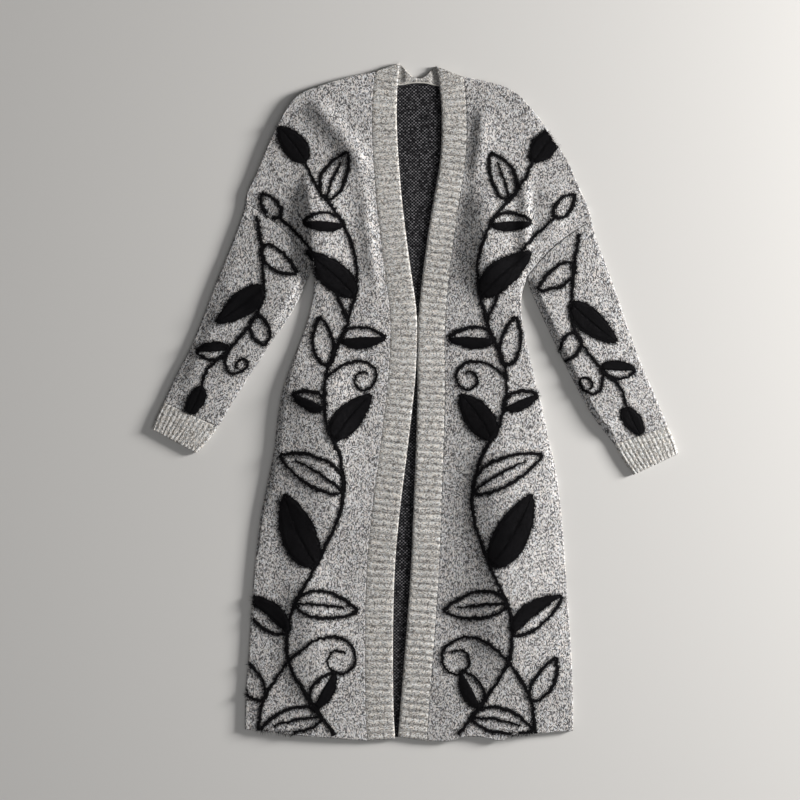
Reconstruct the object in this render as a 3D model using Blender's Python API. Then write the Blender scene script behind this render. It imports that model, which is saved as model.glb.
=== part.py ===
"""A long open-front knitted cardigan, laid flat on its back with its fronts nearly meeting.

X runs across the garment towards the wearer's left, Y from the hem to the neck, and Z up.
The origin is the middle of the garment's footprint, on the surface that it lies on.
Every piece is a cloth wall between an upper and a lower skin of points. The back panel and
the lower layers of the sleeves lie flat, and everything else lies on them.
"""
from collections import namedtuple
from math import cos, pi, radians, sin

import bmesh
import bpy
import numpy as np

MM = 0.001

# Cloth
WALL = 2.8 * MM             # double-faced patterned knit of the body and sleeves
RIB_WALL = 2.6 * MM         # rib knit of the bands and cuffs, under its ribs
RIB_RISE = 1.3 * MM         # how far a rib stands out of the rib knit
SEAM_GAP = 0.3 * MM         # space between two pieces that are sewn together
CURVED_SEAM_GAP = 0.42 * MM  # the same along a curve, where the chords of both pieces wander
BAND_SEAM_GAP = 0.6 * MM    # the same along the long curve between a front and its band
FRONT_LEVEL = WALL + SEAM_GAP  # underside of whatever lies on the back panel

# Repeats and grids
BAND_RIBS = 95              # ribs across each front band, from hem to shoulder
NECK_RIBS = 22              # ribs across the stretch of band behind the neck
CUFF_RIBS = 12              # ribs on the upper face of each cuff
SIDE_ROWS = 21              # spaces between the points up a side, hem to underarm
ARMHOLE_ROWS = 8            # spaces along an armhole, underarm to shoulder tip
FRONT_COLUMNS = 11          # spaces across a front panel
SHOULDER_COLUMNS = 7        # spaces along a shoulder on the back panel
NECK_COLUMNS = 8            # spaces along the back neck seam
BACK_SIDE_ROWS = 12         # spaces up the back panel's sides, hem to underarm

# Soft shapes
EDGE_ROUND = 2.0 * MM       # how far a rounded edge draws in
SEAM_ROUND = 0.7 * MM       # the same at a seam, which reads as a shallow groove
FRONT_LOFT = 2.2 * MM       # how far a front panel swells between its edges
FOLD_FADE = 0.10            # share of a panel's width over which folds die out at its edges
ARMHOLE_BOW = 8.0 * MM      # how far an armhole seam bows up from its chord
TUBE_CLEAR = 0.6 * MM       # space between the two layers of a flat sleeve, at its folded edges
TUBE_RADIUS = WALL + TUBE_CLEAR / 2
TUBE_SWELL = 0.8            # power of the sine that a tube's loft follows: lower is fuller at the edges
NECK_ROLL = 2.4 * MM        # how much thicker the neck band is where its edge is rolled under
RIM_HEIGHT = 0.45           # height of a rounded edge's outermost line, as a share of the wall
FOLD_TAPER = 0.3            # share of a fold's length over which it rises at each end
CREASE_ANGLE = 50           # degrees between faces that stay sharp when shaded

Point = namedtuple("Point", "x y")
Profile = namedtuple("Profile", "share swell roll")
Strip = namedtuple("Strip", "free_x free_y seam_x seam_y")
View = namedtuple("View", "low_x high_x fade")
Cross = namedtuple("Cross", "outer_x outer_y inner_x inner_y loft")
Fold = namedtuple("Fold", "x1 y1 x2 y2 bow height left_width right_width")

# Across a band: where each line of points runs, how far its ribs rise there as a share of the
# full rise, and how much of the neck's rolled thickness it carries
FRONT_BAND_PROFILE = [
    Profile(0.0, 0.0, 0.0), Profile(0.06, 0.9, 0.0), Profile(0.93, 1.0, 0.0), Profile(1.0, 0.0, 0.0),
]
NECK_BAND_PROFILE = [
    Profile(0.0, 0.1, 0.0), Profile(0.1, 0.6, 0.3), Profile(0.55, 0.6, 1.0), Profile(1.0, 0.2, 0.6),
]
VALLEY = 0.15               # height left between two ribs, as a share of a rib's rise
EDGE_DROP = 0.5 * MM        # how far a front band's two edges lie below its face

# Front bands, hem to shoulder: the free edge and the seam to the front panel, in mm
RIGHT_BAND = [
    Strip(-29.5, -496.5, -71.0, -499.0),
    Strip(-32.0, -440.0, -73.5, -440.0),
    Strip(-32.4, -340.0, -74.0, -340.0),
    Strip(-29.5, -240.0, -71.0, -240.0),
    Strip(-21.4, -152.0, -62.5, -152.0),
    Strip(-10.3, -63.0, -51.0, -63.0),
    Strip(-0.5, 25.0, -40.8, 25.0),
    Strip(2.8, 84.0, -37.0, 84.0),
    Strip(2.0, 135.0, -37.5, 135.0),
    Strip(-10.3, 224.0, -48.8, 224.0),
    Strip(-20.6, 312.0, -58.6, 312.0),
    Strip(-26.5, 400.0, -63.6, 400.0),
    Strip(-26.5, 452.0, -62.8, 452.0),
    Strip(-22.8, 499.5, -59.0, 487.0),
]
LEFT_BAND = [
    Strip(-25.0, -493.5, 17.0, -499.5),
    Strip(-19.0, -417.0, 23.0, -417.0),
    Strip(-11.8, -328.0, 30.0, -328.0),
    Strip(-5.9, -240.0, 35.8, -240.0),
    Strip(-2.2, -152.0, 39.0, -152.0),
    Strip(1.6, -63.0, 42.2, -63.0),
    Strip(3.6, 25.0, 44.0, 25.0),
    Strip(3.9, 106.0, 43.8, 106.0),
    Strip(10.3, 180.0, 49.5, 180.0),
    Strip(22.1, 268.0, 60.8, 268.0),
    Strip(36.8, 356.0, 74.2, 356.0),
    Strip(39.2, 423.0, 76.0, 423.0),
    Strip(35.6, 468.0, 72.6, 468.0),
    Strip(30.5, 495.0, 70.7, 479.5),
]

# Sides of the body, hem to underarm, in mm
RIGHT_SIDE = [
    Point(-250.4, -482.4), Point(-249.0, -424.0), Point(-244.5, -365.0), Point(-240.0, -292.0),
    Point(-235.7, -240.0), Point(-228.0, -174.0), Point(-218.0, -122.0), Point(-207.7, -70.7),
    Point(-201.8, -19.0), Point(-194.4, 19.0), Point(-181.0, 59.0), Point(-168.0, 91.3),
    Point(-156.0, 127.0), Point(-149.0, 162.0), Point(-150.0, 203.0),
]
LEFT_SIDE = [
    Point(232.7, -484.6), Point(232.7, -431.6), Point(229.8, -365.0), Point(225.4, -299.0),
    Point(221.0, -233.0), Point(215.0, -159.0), Point(206.0, -93.0), Point(196.0, -51.6),
    Point(188.5, -11.8), Point(179.7, 22.0), Point(171.0, 59.0), Point(163.5, 91.3),
    Point(157.0, 128.0), Point(157.6, 157.6), Point(165.0, 184.0),
]

# Shoulders, from the tip where the sleeve joins to the neck point, in mm
RIGHT_SHOULDER = [
    Point(-250.4, 293.0), Point(-246.0, 312.0), Point(-234.2, 336.0), Point(-216.5, 378.6),
    Point(-197.4, 418.0), Point(-181.0, 444.0), Point(-165.0, 456.6), Point(-135.5, 467.7),
    Point(-95.7, 479.5), Point(-59.0, 487.0),
]
LEFT_SHOULDER = [
    Point(260.7, 266.6), Point(254.8, 287.2), Point(240.0, 319.6), Point(225.4, 353.5),
    Point(203.3, 387.4), Point(184.0, 417.0), Point(168.0, 436.0), Point(151.7, 453.0),
    Point(129.6, 465.5), Point(100.2, 473.6), Point(70.7, 479.5),
]

# Hems of the front panels, from the side to the band, and of the back panel, in mm
RIGHT_HEM = [
    Point(-250.4, -482.4), Point(-213.0, -487.0), Point(-171.0, -491.5), Point(-120.0, -495.5),
    Point(-71.0, -499.0),
]
LEFT_HEM = [
    Point(232.7, -484.6), Point(184.0, -488.0), Point(143.0, -491.0), Point(126.0, -498.5),
    Point(94.0, -493.0), Point(69.0, -494.0), Point(50.0, -499.5), Point(17.0, -499.5),
]
BACK_HEM = [
    Point(-250.4, -482.4), Point(-120.0, -492.0), Point(-20.0, -494.0), Point(100.0, -490.0),
    Point(232.7, -484.6),
]

# Back of the neck: the seam to the back panel, and the free edge of the band above it, in mm
NECK_SEAM = [
    Point(-59.0, 487.0), Point(-41.0, 476.0), Point(-25.0, 468.0), Point(-4.0, 470.5),
    Point(15.0, 470.5), Point(37.0, 466.5), Point(52.0, 471.5), Point(70.7, 479.5),
]
NECK_EDGE = [
    Point(-22.8, 499.5), Point(-13.0, 489.5), Point(-3.5, 480.0), Point(4.0, 477.5),
    Point(10.0, 478.0), Point(20.0, 486.0), Point(30.5, 495.0),
]
# The stretch of the neck band that the front bands leave in view, and how softly it thickens, in mm
NECK_VIEW = View(-20.5, 27.5, 8.0)

# Sleeves, armhole to cuff seam: the edge over the arm, the edge under it and the upper layer's loft
RIGHT_SLEEVE = [
    Cross(-250.4, 293.0, -150.0, 203.0, 0.3),
    Cross(-256.3, 271.0, -156.0, 185.6, 1.6),
    Cross(-274.0, 224.0, -171.0, 151.7, 3.0),
    Cross(-293.0, 178.0, -190.0, 118.0, 2.4),
    Cross(-311.0, 129.6, -212.0, 87.0, 3.2),
    Cross(-331.4, 79.5, -234.0, 53.0, 2.6),
    Cross(-350.6, 42.7, -259.0, 14.7, 3.0),
    Cross(-371.2, 0.0, -290.0, -36.8, 0.8),
]
LEFT_SLEEVE = [
    Cross(260.7, 266.6, 165.0, 184.0, 0.3),
    Cross(266.6, 243.0, 169.4, 166.4, 1.6),
    Cross(281.3, 203.3, 179.7, 143.0, 3.1),
    Cross(299.0, 154.7, 196.0, 107.5, 2.5),
    Cross(316.7, 103.0, 215.0, 67.8, 3.2),
    Cross(335.8, 51.6, 235.7, 26.5, 2.5),
    Cross(355.0, 7.4, 260.7, -19.0, 3.0),
    Cross(372.7, -35.4, 293.1, -61.9, 0.8),
]
RIGHT_CUFF = [
    Cross(-371.2, 0.0, -290.0, -36.8, 0.6),
    Cross(-381.0, -21.0, -304.5, -57.0, 1.0),
    Cross(-388.2, -39.8, -321.7, -75.7, 0.3),
]
LEFT_CUFF = [
    Cross(372.7, -35.4, 293.1, -61.9, 0.6),
    Cross(382.5, -57.5, 306.5, -85.5, 1.0),
    Cross(388.2, -76.6, 321.9, -107.5, 0.3),
]

# Folds pressed into the fronts: the ends of each crest, how far it bows, and how wide it falls
# away to the left and right of its run, in mm
FRONT_FOLDS = [
    Fold(-170, 456, -112, 392, 0, 5.0, 15, 13),
    Fold(-122, 404, -56, 322, 4, 5.5, 16, 13),
    Fold(-160, 356, -148, 140, 4, 6.5, 14, 38),
    Fold(-66, 344, -48, 150, -6, 4.0, 18, 12),
    Fold(-126, 84, -136, -200, 6, 7.5, 46, 30),
    Fold(-170, -190, -146, -470, 6, 4.0, 34, 30),
    Fold(118, 440, 84, 300, 5, 4.2, 17, 14),
    Fold(126, 352, 128, 150, -4, 7.5, 30, 32),
    Fold(163, 348, 164, 190, 0, 3.4, 12, 7),
    Fold(208, 332, 200, 226, 0, 3.6, 26, 20),
    Fold(133, 30, 140, -472, -6, 8.0, 34, 44),
]


def clear_scene():
    """Start from an empty scene."""
    for item in list(bpy.data.objects):
        bpy.data.objects.remove(item, do_unlink=True)


def material(name, colour, roughness):
    """Return a plain knit material."""
    knit = bpy.data.materials.new(name)
    knit.use_nodes = True
    shader = knit.node_tree.nodes["Principled BSDF"]
    shader.inputs["Base Color"].default_value = (*colour, 1.0)
    shader.inputs["Roughness"].default_value = roughness
    shader.inputs["Metallic"].default_value = 0.0
    return knit


def smooth_line(table, steps_per_span=16):
    """Return dense points in metres on a smooth curve through the table's points."""
    knots = np.array(table, float) * MM
    before = 2 * knots[0] - knots[1]
    after = 2 * knots[-1] - knots[-2]
    knots = np.vstack([before, knots, after])
    line = []
    for a, b, c, d in zip(knots, knots[1:], knots[2:], knots[3:]):
        for t in np.arange(steps_per_span) / steps_per_span:
            line.append(0.5 * (2 * b + (c - a) * t + (2 * a - 5 * b + 4 * c - d) * t ** 2
                               + (3 * b - a - 3 * c + d) * t ** 3))
    line.append(knots[-2])
    return np.array(line)


def at_shares(line, shares):
    """Return the points at the given shares of a line's length."""
    lengths = np.concatenate([[0.0], np.cumsum(np.linalg.norm(np.diff(line, axis=0), axis=1))])
    return np.column_stack([np.interp(np.asarray(shares) * lengths[-1], lengths, line[:, k])
                            for k in range(line.shape[1])])


def even(spaces):
    """Return the shares that divide a length into equal spaces."""
    return np.linspace(0.0, 1.0, spaces + 1)


def smooth_step(value):
    """Rise smoothly from 0 to 1."""
    value = np.clip(value, 0.0, 1.0)
    return value * value * (3 - 2 * value)


def armhole_bow(underarm, tip, shares):
    """Return how far an armhole seam bows up from its chord at each share of its length."""
    shares = np.asarray(shares)[:, None]
    chord = tip - underarm
    across = np.array([-chord[1], chord[0]]) / np.linalg.norm(chord)
    if across[1] < 0:
        across = -across
    return across * ARMHOLE_BOW * 4 * shares * (1 - shares)


def armhole(underarm, tip, shares):
    """Return points along an armhole seam."""
    return underarm + (tip - underarm) * np.asarray(shares)[:, None] + armhole_bow(underarm, tip, shares)


def outer_edge(side, shoulder, side_rows):
    """Return a panel's outer edge from the hem up the side and along the armhole."""
    up_side = at_shares(smooth_line(side), even(side_rows))
    underarm = up_side[-1]
    tip = np.array(shoulder[0]) * MM
    return np.vstack([up_side, armhole(underarm, tip, even(ARMHOLE_ROWS)[1:])])


def patch(inner, outer, bottom, top):
    """Fill four edges with a grid of plan points: rows run from the bottom to the top edge, and
    each row from the inner to the outer edge."""
    rise = np.linspace(0, 1, len(inner))[:, None, None]
    across = np.linspace(0, 1, len(bottom))[None, :, None]
    sides = (1 - across) * inner[:, None, :] + across * outer[:, None, :]
    ends = (1 - rise) * bottom[None, :, :] + rise * top[None, :, :]
    corners = ((1 - rise) * ((1 - across) * bottom[0] + across * bottom[-1])
               + rise * ((1 - across) * top[0] + across * top[-1]))
    return sides + ends - corners


def drawn_in(plan, first_row, last_row, first_column, last_column):
    """Move a grid's border towards its inside by the distance given for each edge."""
    moved = plan.copy()

    def towards(start, goal, distance):
        step = goal - start
        return step / np.linalg.norm(step, axis=-1, keepdims=True) * distance

    moved[0] += towards(plan[0], plan[1], first_row)
    moved[-1] += towards(plan[-1], plan[-2], last_row)
    moved[:, 0] += towards(plan[:, 0], plan[:, 1], first_column)
    moved[:, -1] += towards(plan[:, -1], plan[:, -2], last_column)
    return moved


def with_height(plan, height):
    """Add a height to each plan point."""
    return np.concatenate([plan, np.broadcast_to(height, plan.shape[:2])[..., None]], axis=-1)


def border(grid):
    """Return a grid's border points in order, all the way round."""
    return np.concatenate([grid[0, :-1], grid[:-1, -1], grid[-1, :0:-1], grid[:0:-1, 0]])


def add_object(name, mesh_points, faces, knit):
    """Make a closed mesh object whose faces point out."""
    mesh = bpy.data.meshes.new(name)
    mesh.from_pydata([tuple(point) for point in mesh_points], [], faces)
    shaped = bmesh.new()
    shaped.from_mesh(mesh)
    bmesh.ops.triangulate(shaped, faces=shaped.faces[:])
    bmesh.ops.recalc_face_normals(shaped, faces=shaped.faces[:])
    shaped.to_mesh(mesh)
    shaped.free()
    mesh.materials.append(knit)
    piece = bpy.data.objects.new(name, mesh)
    bpy.context.collection.objects.link(piece)
    mesh.shade_smooth()
    mesh.set_sharp_from_angle(angle=radians(CREASE_ANGLE))
    return piece


def wall_between(name, upper, lower, rims, knit):
    """Close the space between two grids of the same size with one or more rims of border points."""
    rows, columns = upper.shape[:2]
    points = [*upper.reshape(-1, 3), *lower.reshape(-1, 3)]
    numbers = np.arange(rows * columns).reshape(rows, columns)
    faces = []
    for skin, flip in ((numbers, False), (numbers + rows * columns, True)):
        for i in range(rows - 1):
            for j in range(columns - 1):
                quad = [skin[i, j], skin[i, j + 1], skin[i + 1, j + 1], skin[i + 1, j]]
                faces.append(quad[::-1] if flip else quad)
    loops = [border(numbers[..., None])[:, 0]]
    for rim in rims:
        loops.append(np.arange(len(points), len(points) + len(rim)))
        points.extend(rim)
    loops.append(loops[0] + rows * columns)
    for high, low in zip(loops, loops[1:]):
        for k in range(len(high)):
            after = (k + 1) % len(high)
            faces.append([high[k], low[k], low[after], high[after]])
    return add_object(name, points, [list(map(int, face)) for face in faces], knit)


def fold_height(plan):
    """Return how far the folds lift the cloth at each plan point."""
    lift = np.zeros(plan.shape[:2])
    for fold in FRONT_FOLDS:
        start = np.array([fold.x1, fold.y1]) * MM
        run = np.array([fold.x2, fold.y2]) * MM - start
        length = np.linalg.norm(run)
        along_axis = run / length
        right_axis = np.array([-along_axis[1], along_axis[0]])
        offset = plan - start
        along = offset @ along_axis / length
        bow = fold.bow * MM * 4 * along * (1 - along)
        away = offset @ right_axis - bow
        width = np.where(away > 0, fold.right_width, fold.left_width) * MM
        taper = smooth_step(along / FOLD_TAPER) * smooth_step((1 - along) / FOLD_TAPER)
        lift += fold.height * MM * taper * np.exp(-(away / width) ** 2)
    return lift


def build_back(knit):
    """Back panel: flat on the surface, under both fronts."""
    right = outer_edge(RIGHT_SIDE, RIGHT_SHOULDER, BACK_SIDE_ROWS)
    left = outer_edge(LEFT_SIDE, LEFT_SHOULDER, BACK_SIDE_ROWS)
    shoulder_shares = even(SHOULDER_COLUMNS)
    right_shoulder = at_shares(smooth_line(RIGHT_SHOULDER), shoulder_shares)
    left_shoulder = at_shares(smooth_line(LEFT_SHOULDER), shoulder_shares)
    top = np.vstack([right_shoulder, neck_seam()[1:-1], left_shoulder[::-1]])
    bottom = at_shares(smooth_line(BACK_HEM), even(len(top) - 1))
    plan = patch(right, left, bottom, top)
    upper = with_height(plan, WALL)
    lower = with_height(drawn_in(plan, EDGE_ROUND, EDGE_ROUND, EDGE_ROUND, EDGE_ROUND), 0.0)
    rim = border(with_height(plan, WALL * RIM_HEIGHT))
    return wall_between("back_panel", upper, lower, [rim], knit)


def neck_seam():
    """Return the points that the back panel and the neck band share along the back neck."""
    return at_shares(smooth_line(NECK_SEAM), even(NECK_COLUMNS))


def build_front(name, band, side, shoulder, hem, toward_side, knit):
    """Front panel: from the band's seam to the side, lying on the back panel."""
    outer = outer_edge(side, shoulder, SIDE_ROWS)
    seam = smooth_line([(strip.seam_x, strip.seam_y) for strip in band])
    seam_shares = np.concatenate([even(SIDE_ROWS) * 0.74, 0.74 + even(ARMHOLE_ROWS)[1:] * 0.26])
    inner = at_shares(seam, seam_shares) + [toward_side * BAND_SEAM_GAP, 0.0]
    bottom = at_shares(smooth_line(hem), even(FRONT_COLUMNS))[::-1]
    top = at_shares(smooth_line(shoulder), even(FRONT_COLUMNS))[::-1]
    bottom[0] = inner[0]
    top[0] = inner[-1]
    plan = patch(inner, outer, bottom, top)
    rows, columns = plan.shape[:2]
    across = np.linspace(0, 1, columns)[None, :]
    rise = np.linspace(0, 1, rows)[:, None]
    inside = smooth_step(np.minimum(across, 1 - across) / FOLD_FADE)
    inside = inside * smooth_step(np.minimum(rise, 1 - rise) * 12)
    lift = FRONT_LOFT * 4 * across * (1 - across) * np.ones_like(rise) + fold_height(plan) * inside
    upper_plan = drawn_in(plan, EDGE_ROUND, EDGE_ROUND, SEAM_ROUND, EDGE_ROUND)
    upper = with_height(upper_plan, FRONT_LEVEL + lift + WALL)
    lower = with_height(plan, FRONT_LEVEL + lift)
    rim = border(with_height(plan, FRONT_LEVEL + lift + WALL * (1 - RIM_HEIGHT)))
    return wall_between(name, upper, lower, [rim], knit)


def build_band(name, strips, knit):
    """Front band: a strip of rib knit whose ribs run across it, plain underneath."""
    stations = even(2 * BAND_RIBS)
    free = at_shares(smooth_line([(strip.free_x, strip.free_y) for strip in strips]), stations)
    seam = at_shares(smooth_line([(strip.seam_x, strip.seam_y) for strip in strips]), stations)
    shares = np.array([line.share for line in FRONT_BAND_PROFILE])[None, :, None]
    swell = np.array([line.swell for line in FRONT_BAND_PROFILE])[None, :]
    plan = free[:, None, :] * (1 - shares) + seam[:, None, :] * shares
    crest = (np.arange(len(free)) % 2)[:, None]
    height = FRONT_LEVEL + RIB_WALL + RIB_RISE * swell * (VALLEY + (1 - VALLEY) * crest)
    height[:, [0, -1]] -= EDGE_DROP
    upper = with_height(plan, height)
    lower = with_height(plan, FRONT_LEVEL)
    return ribbed_strip(name, upper, lower[:, [0, -1]], knit)


def ribbed_strip(name, upper, lower, knit):
    """Close a finely pointed upper skin with a lower skin of two columns."""
    rows, columns = upper.shape[:2]
    points = [*upper.reshape(-1, 3), *lower.reshape(-1, 3)]
    top = np.arange(rows * columns).reshape(rows, columns)
    base = (np.arange(rows * 2) + rows * columns).reshape(rows, 2)
    faces = []
    for i in range(rows - 1):
        for j in range(columns - 1):
            faces.append([top[i, j], top[i, j + 1], top[i + 1, j + 1], top[i + 1, j]])
        faces.append([base[i, 0], base[i + 1, 0], base[i + 1, 1], base[i, 1]])
        faces.append([top[i, 0], top[i + 1, 0], base[i + 1, 0], base[i, 0]])
        faces.append([top[i, -1], base[i, 1], base[i + 1, 1], top[i + 1, -1]])
    faces.append([base[0, 0], base[0, 1], *top[0, ::-1]])
    faces.append([*top[-1], base[-1, 1], base[-1, 0]])
    return add_object(name, points, [list(map(int, face)) for face in faces], knit)


def build_neck_band(knit):
    """Band behind the neck: joined to the back panel, its free edge turned up at both ends and
    rolled under in the middle, where it is thicker."""
    stations = even(2 * NECK_RIBS)
    seam = at_shares(neck_seam(), stations) + [0.0, CURVED_SEAM_GAP]
    edge = at_shares(smooth_line(NECK_EDGE), stations)
    shares = np.array([line.share for line in NECK_BAND_PROFILE])[:, None, None]
    swell = np.array([line.swell for line in NECK_BAND_PROFILE])[:, None]
    roll = np.array([line.roll for line in NECK_BAND_PROFILE])[:, None]
    plan = seam[None] * (1 - shares) + edge[None] * shares
    crest = (np.arange(len(stations)) % 2)[None, :]
    height = WALL + neck_in_view(plan[..., 0]) * (NECK_ROLL * roll + RIB_RISE * swell * crest)
    skin = drawn_in(plan, 0.0, EDGE_ROUND / 2, 0.0, 0.0)
    rim = border(with_height(plan, height * RIM_HEIGHT))
    return wall_between("neck_band", with_height(skin, height), with_height(skin, 0.0), [rim], knit)


def neck_in_view(x):
    """Return 1 where the neck band is in view and 0 where the front bands lie on it."""
    return (smooth_step((x - NECK_VIEW.low_x * MM) / (NECK_VIEW.fade * MM))
            * smooth_step((NECK_VIEW.high_x * MM - x) / (NECK_VIEW.fade * MM)))


def tube_ring(cross, shares, draw_in, ribs=0):
    """Return a ring of points round a flat tube, from the edge over the arm across the upper
    layer and back across the lower one. draw_in is how far the ring lies inside the outer face."""
    outer = np.array([cross.outer_x, cross.outer_y]) * MM
    inner = np.array([cross.inner_x, cross.inner_y]) * MM
    width = np.linalg.norm(inner - outer)
    radius = TUBE_RADIUS - draw_in
    flat = width - 2 * TUBE_RADIUS
    ring = []
    for angle in (180, 140):
        ring.append((TUBE_RADIUS + radius * cos(radians(angle)), TUBE_RADIUS + radius * sin(radians(angle))))
    for number, share in enumerate(shares):
        height = 2 * TUBE_RADIUS - draw_in + cross.loft * MM * sin(pi * share) ** TUBE_SWELL
        if ribs and number % 2:
            height += RIB_RISE
        ring.append((TUBE_RADIUS + flat * share, height))
    for angle in (40, 0, -40):
        ring.append((width - TUBE_RADIUS + radius * cos(radians(angle)),
                     TUBE_RADIUS + radius * sin(radians(angle))))
    for share in (1.0, 0.75, 0.5, 0.25, 0.0):
        ring.append((TUBE_RADIUS + flat * share, draw_in))
    ring.append((TUBE_RADIUS + radius * cos(radians(220)), TUBE_RADIUS + radius * sin(radians(220))))
    axis = (inner - outer) / width
    return np.array([[*(outer + axis * across), height] for across, height in ring])


def build_tube(name, rows, shares, wall, knit, at_armhole=False, ribs=0):
    """Sleeve or cuff: a flat tube, open at both ends, whose two layers lie on each other."""
    down = np.array([rows[-1].outer_x - rows[0].outer_x, rows[-1].outer_y - rows[0].outer_y])
    down = down / np.linalg.norm(down)
    outside = [tube_ring(row, shares, 0.0, ribs) for row in rows]
    inside = [tube_ring(row, shares, wall) for row in rows]
    for rings in (outside, inside):
        if at_armhole:
            for ring, row, strength in zip(rings, rows, (1.0, 0.5)):
                ring[:, :2] += follow_armhole(ring[:, :2], row) * strength
        rings[0][:, :2] += down * CURVED_SEAM_GAP
    layers, count = len(rows), len(outside[0])
    faces = []
    for skin, flip in ((0, False), (layers * count, True)):
        for i in range(layers - 1):
            for k in range(count):
                after = (k + 1) % count
                quad = [skin + i * count + k, skin + i * count + after,
                        skin + (i + 1) * count + after, skin + (i + 1) * count + k]
                faces.append(quad[::-1] if flip else quad)
    for end in (0, layers - 1):
        for k in range(count):
            after = (k + 1) % count
            faces.append([end * count + k, end * count + after,
                          (layers + end) * count + after, (layers + end) * count + k])
    return add_object(name, np.vstack(outside + inside), faces, knit)


def follow_armhole(points, cross):
    """Return how far a sleeve's ring moves to follow the armhole seam's bow."""
    outer = np.array([cross.outer_x, cross.outer_y]) * MM
    inner = np.array([cross.inner_x, cross.inner_y]) * MM
    chord = outer - inner
    return armhole_bow(inner, outer, (points - inner) @ chord / (chord @ chord))


def build_sleeve(name, rows, knit):
    """Sleeve: from the armhole to the cuff seam."""
    return build_tube(name, rows, even(ARMHOLE_ROWS), WALL, knit, at_armhole=True)


def build_cuff(name, rows, knit):
    """Cuff: its ribs run along the sleeve on the upper face."""
    return build_tube(name, rows, even(2 * CUFF_RIBS), RIB_WALL, knit, ribs=CUFF_RIBS)


def build():
    clear_scene()
    marl = material("marl_knit", (0.38, 0.37, 0.36), 0.92)
    rib = material("rib_knit", (0.47, 0.46, 0.43), 0.92)
    build_back(marl)
    build_front("front_right", RIGHT_BAND, RIGHT_SIDE, RIGHT_SHOULDER, RIGHT_HEM, -1, marl)
    build_front("front_left", LEFT_BAND, LEFT_SIDE, LEFT_SHOULDER, LEFT_HEM, 1, marl)
    build_sleeve("sleeve_right", RIGHT_SLEEVE, marl)
    build_sleeve("sleeve_left", LEFT_SLEEVE, marl)
    build_cuff("cuff_right", RIGHT_CUFF, rib)
    build_cuff("cuff_left", LEFT_CUFF, rib)
    build_band("band_right", RIGHT_BAND, rib)
    build_band("band_left", LEFT_BAND, rib)
    build_neck_band(rib)


build()
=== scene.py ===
"""A long open-front knitted cardigan, laid flat on its back, with its finish.

X runs across the garment towards the wearer's left, Y from the hem to the neck, and Z up. All
sizes are in metres, and the tables are in millimetres. Each piece is a cloth wall between an
upper and a lower skin of points, on the form of the solid that it stands for.
"""
from collections import namedtuple
from math import cos, pi, radians, sin, tau

import bpy
import numpy as np
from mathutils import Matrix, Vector, noise
from mathutils.bvhtree import BVHTree


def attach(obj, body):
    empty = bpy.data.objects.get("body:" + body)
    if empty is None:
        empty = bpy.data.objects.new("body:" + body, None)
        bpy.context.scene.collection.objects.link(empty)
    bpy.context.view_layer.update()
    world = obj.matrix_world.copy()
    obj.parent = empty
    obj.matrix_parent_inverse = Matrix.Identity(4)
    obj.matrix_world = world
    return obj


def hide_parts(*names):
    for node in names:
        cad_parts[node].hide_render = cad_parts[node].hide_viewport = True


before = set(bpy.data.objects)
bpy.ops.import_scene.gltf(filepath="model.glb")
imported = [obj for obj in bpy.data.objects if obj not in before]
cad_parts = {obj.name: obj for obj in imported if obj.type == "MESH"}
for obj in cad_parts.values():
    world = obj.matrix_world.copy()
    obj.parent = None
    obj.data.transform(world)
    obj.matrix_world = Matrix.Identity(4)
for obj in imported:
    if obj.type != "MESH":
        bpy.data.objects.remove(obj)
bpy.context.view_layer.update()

MM = 0.001

# Cloth
WALL = 2.8 * MM  # double-faced patterned knit of the body and sleeves
RIB_WALL = 2.6 * MM  # rib knit of the bands and cuffs, under its ribs
RIB_RISE = 1.3 * MM  # how far a rib of the front bands stands out
CUFF_RISE = 0.55 * MM  # the same on the cuffs
NECK_RISE = 0.25 * RIB_RISE  # and behind the neck, where the ribs are drawn flat
SEAM_GAP = 0.3 * MM  # space between two pieces that are sewn together
BAND_LAP = 0.5 * MM  # how far a front's edge is linked in under its band
FRONT_LEVEL = WALL + SEAM_GAP  # underside of whatever lies on the back panel

# Repeats and grids
BAND_RIBS = 95  # ribs across each front band, from hem to shoulder
NECK_RIBS = 22  # ribs across the stretch of band behind the neck
CUFF_RIBS = 12  # ribs on the upper face of each cuff
RIB_STEPS = 10  # spaces between points over one rib
SIDE_ROWS = 230  # spaces up a side, hem to underarm
ARMHOLE_ROWS = 48  # spaces along an armhole, underarm to shoulder tip
FRONT_COLUMNS = 66  # spaces across a front panel
BAND_COLUMNS = 12  # spaces across a band
BACK_ROWS = 90  # spaces up the back panel's sides
SHOULDER_COLUMNS = 32  # spaces along a shoulder on the back panel
NECK_COLUMNS = 44  # spaces along the back neck seam
SLEEVE_ROWS = 110  # spaces along a sleeve
SLEEVE_COLUMNS = 44  # spaces across a sleeve's upper layer
CUFF_ROWS = 14  # spaces along a cuff
UNDERARM_SHARE = 0.74  # share of a front band's seam that lies below the underarm

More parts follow.
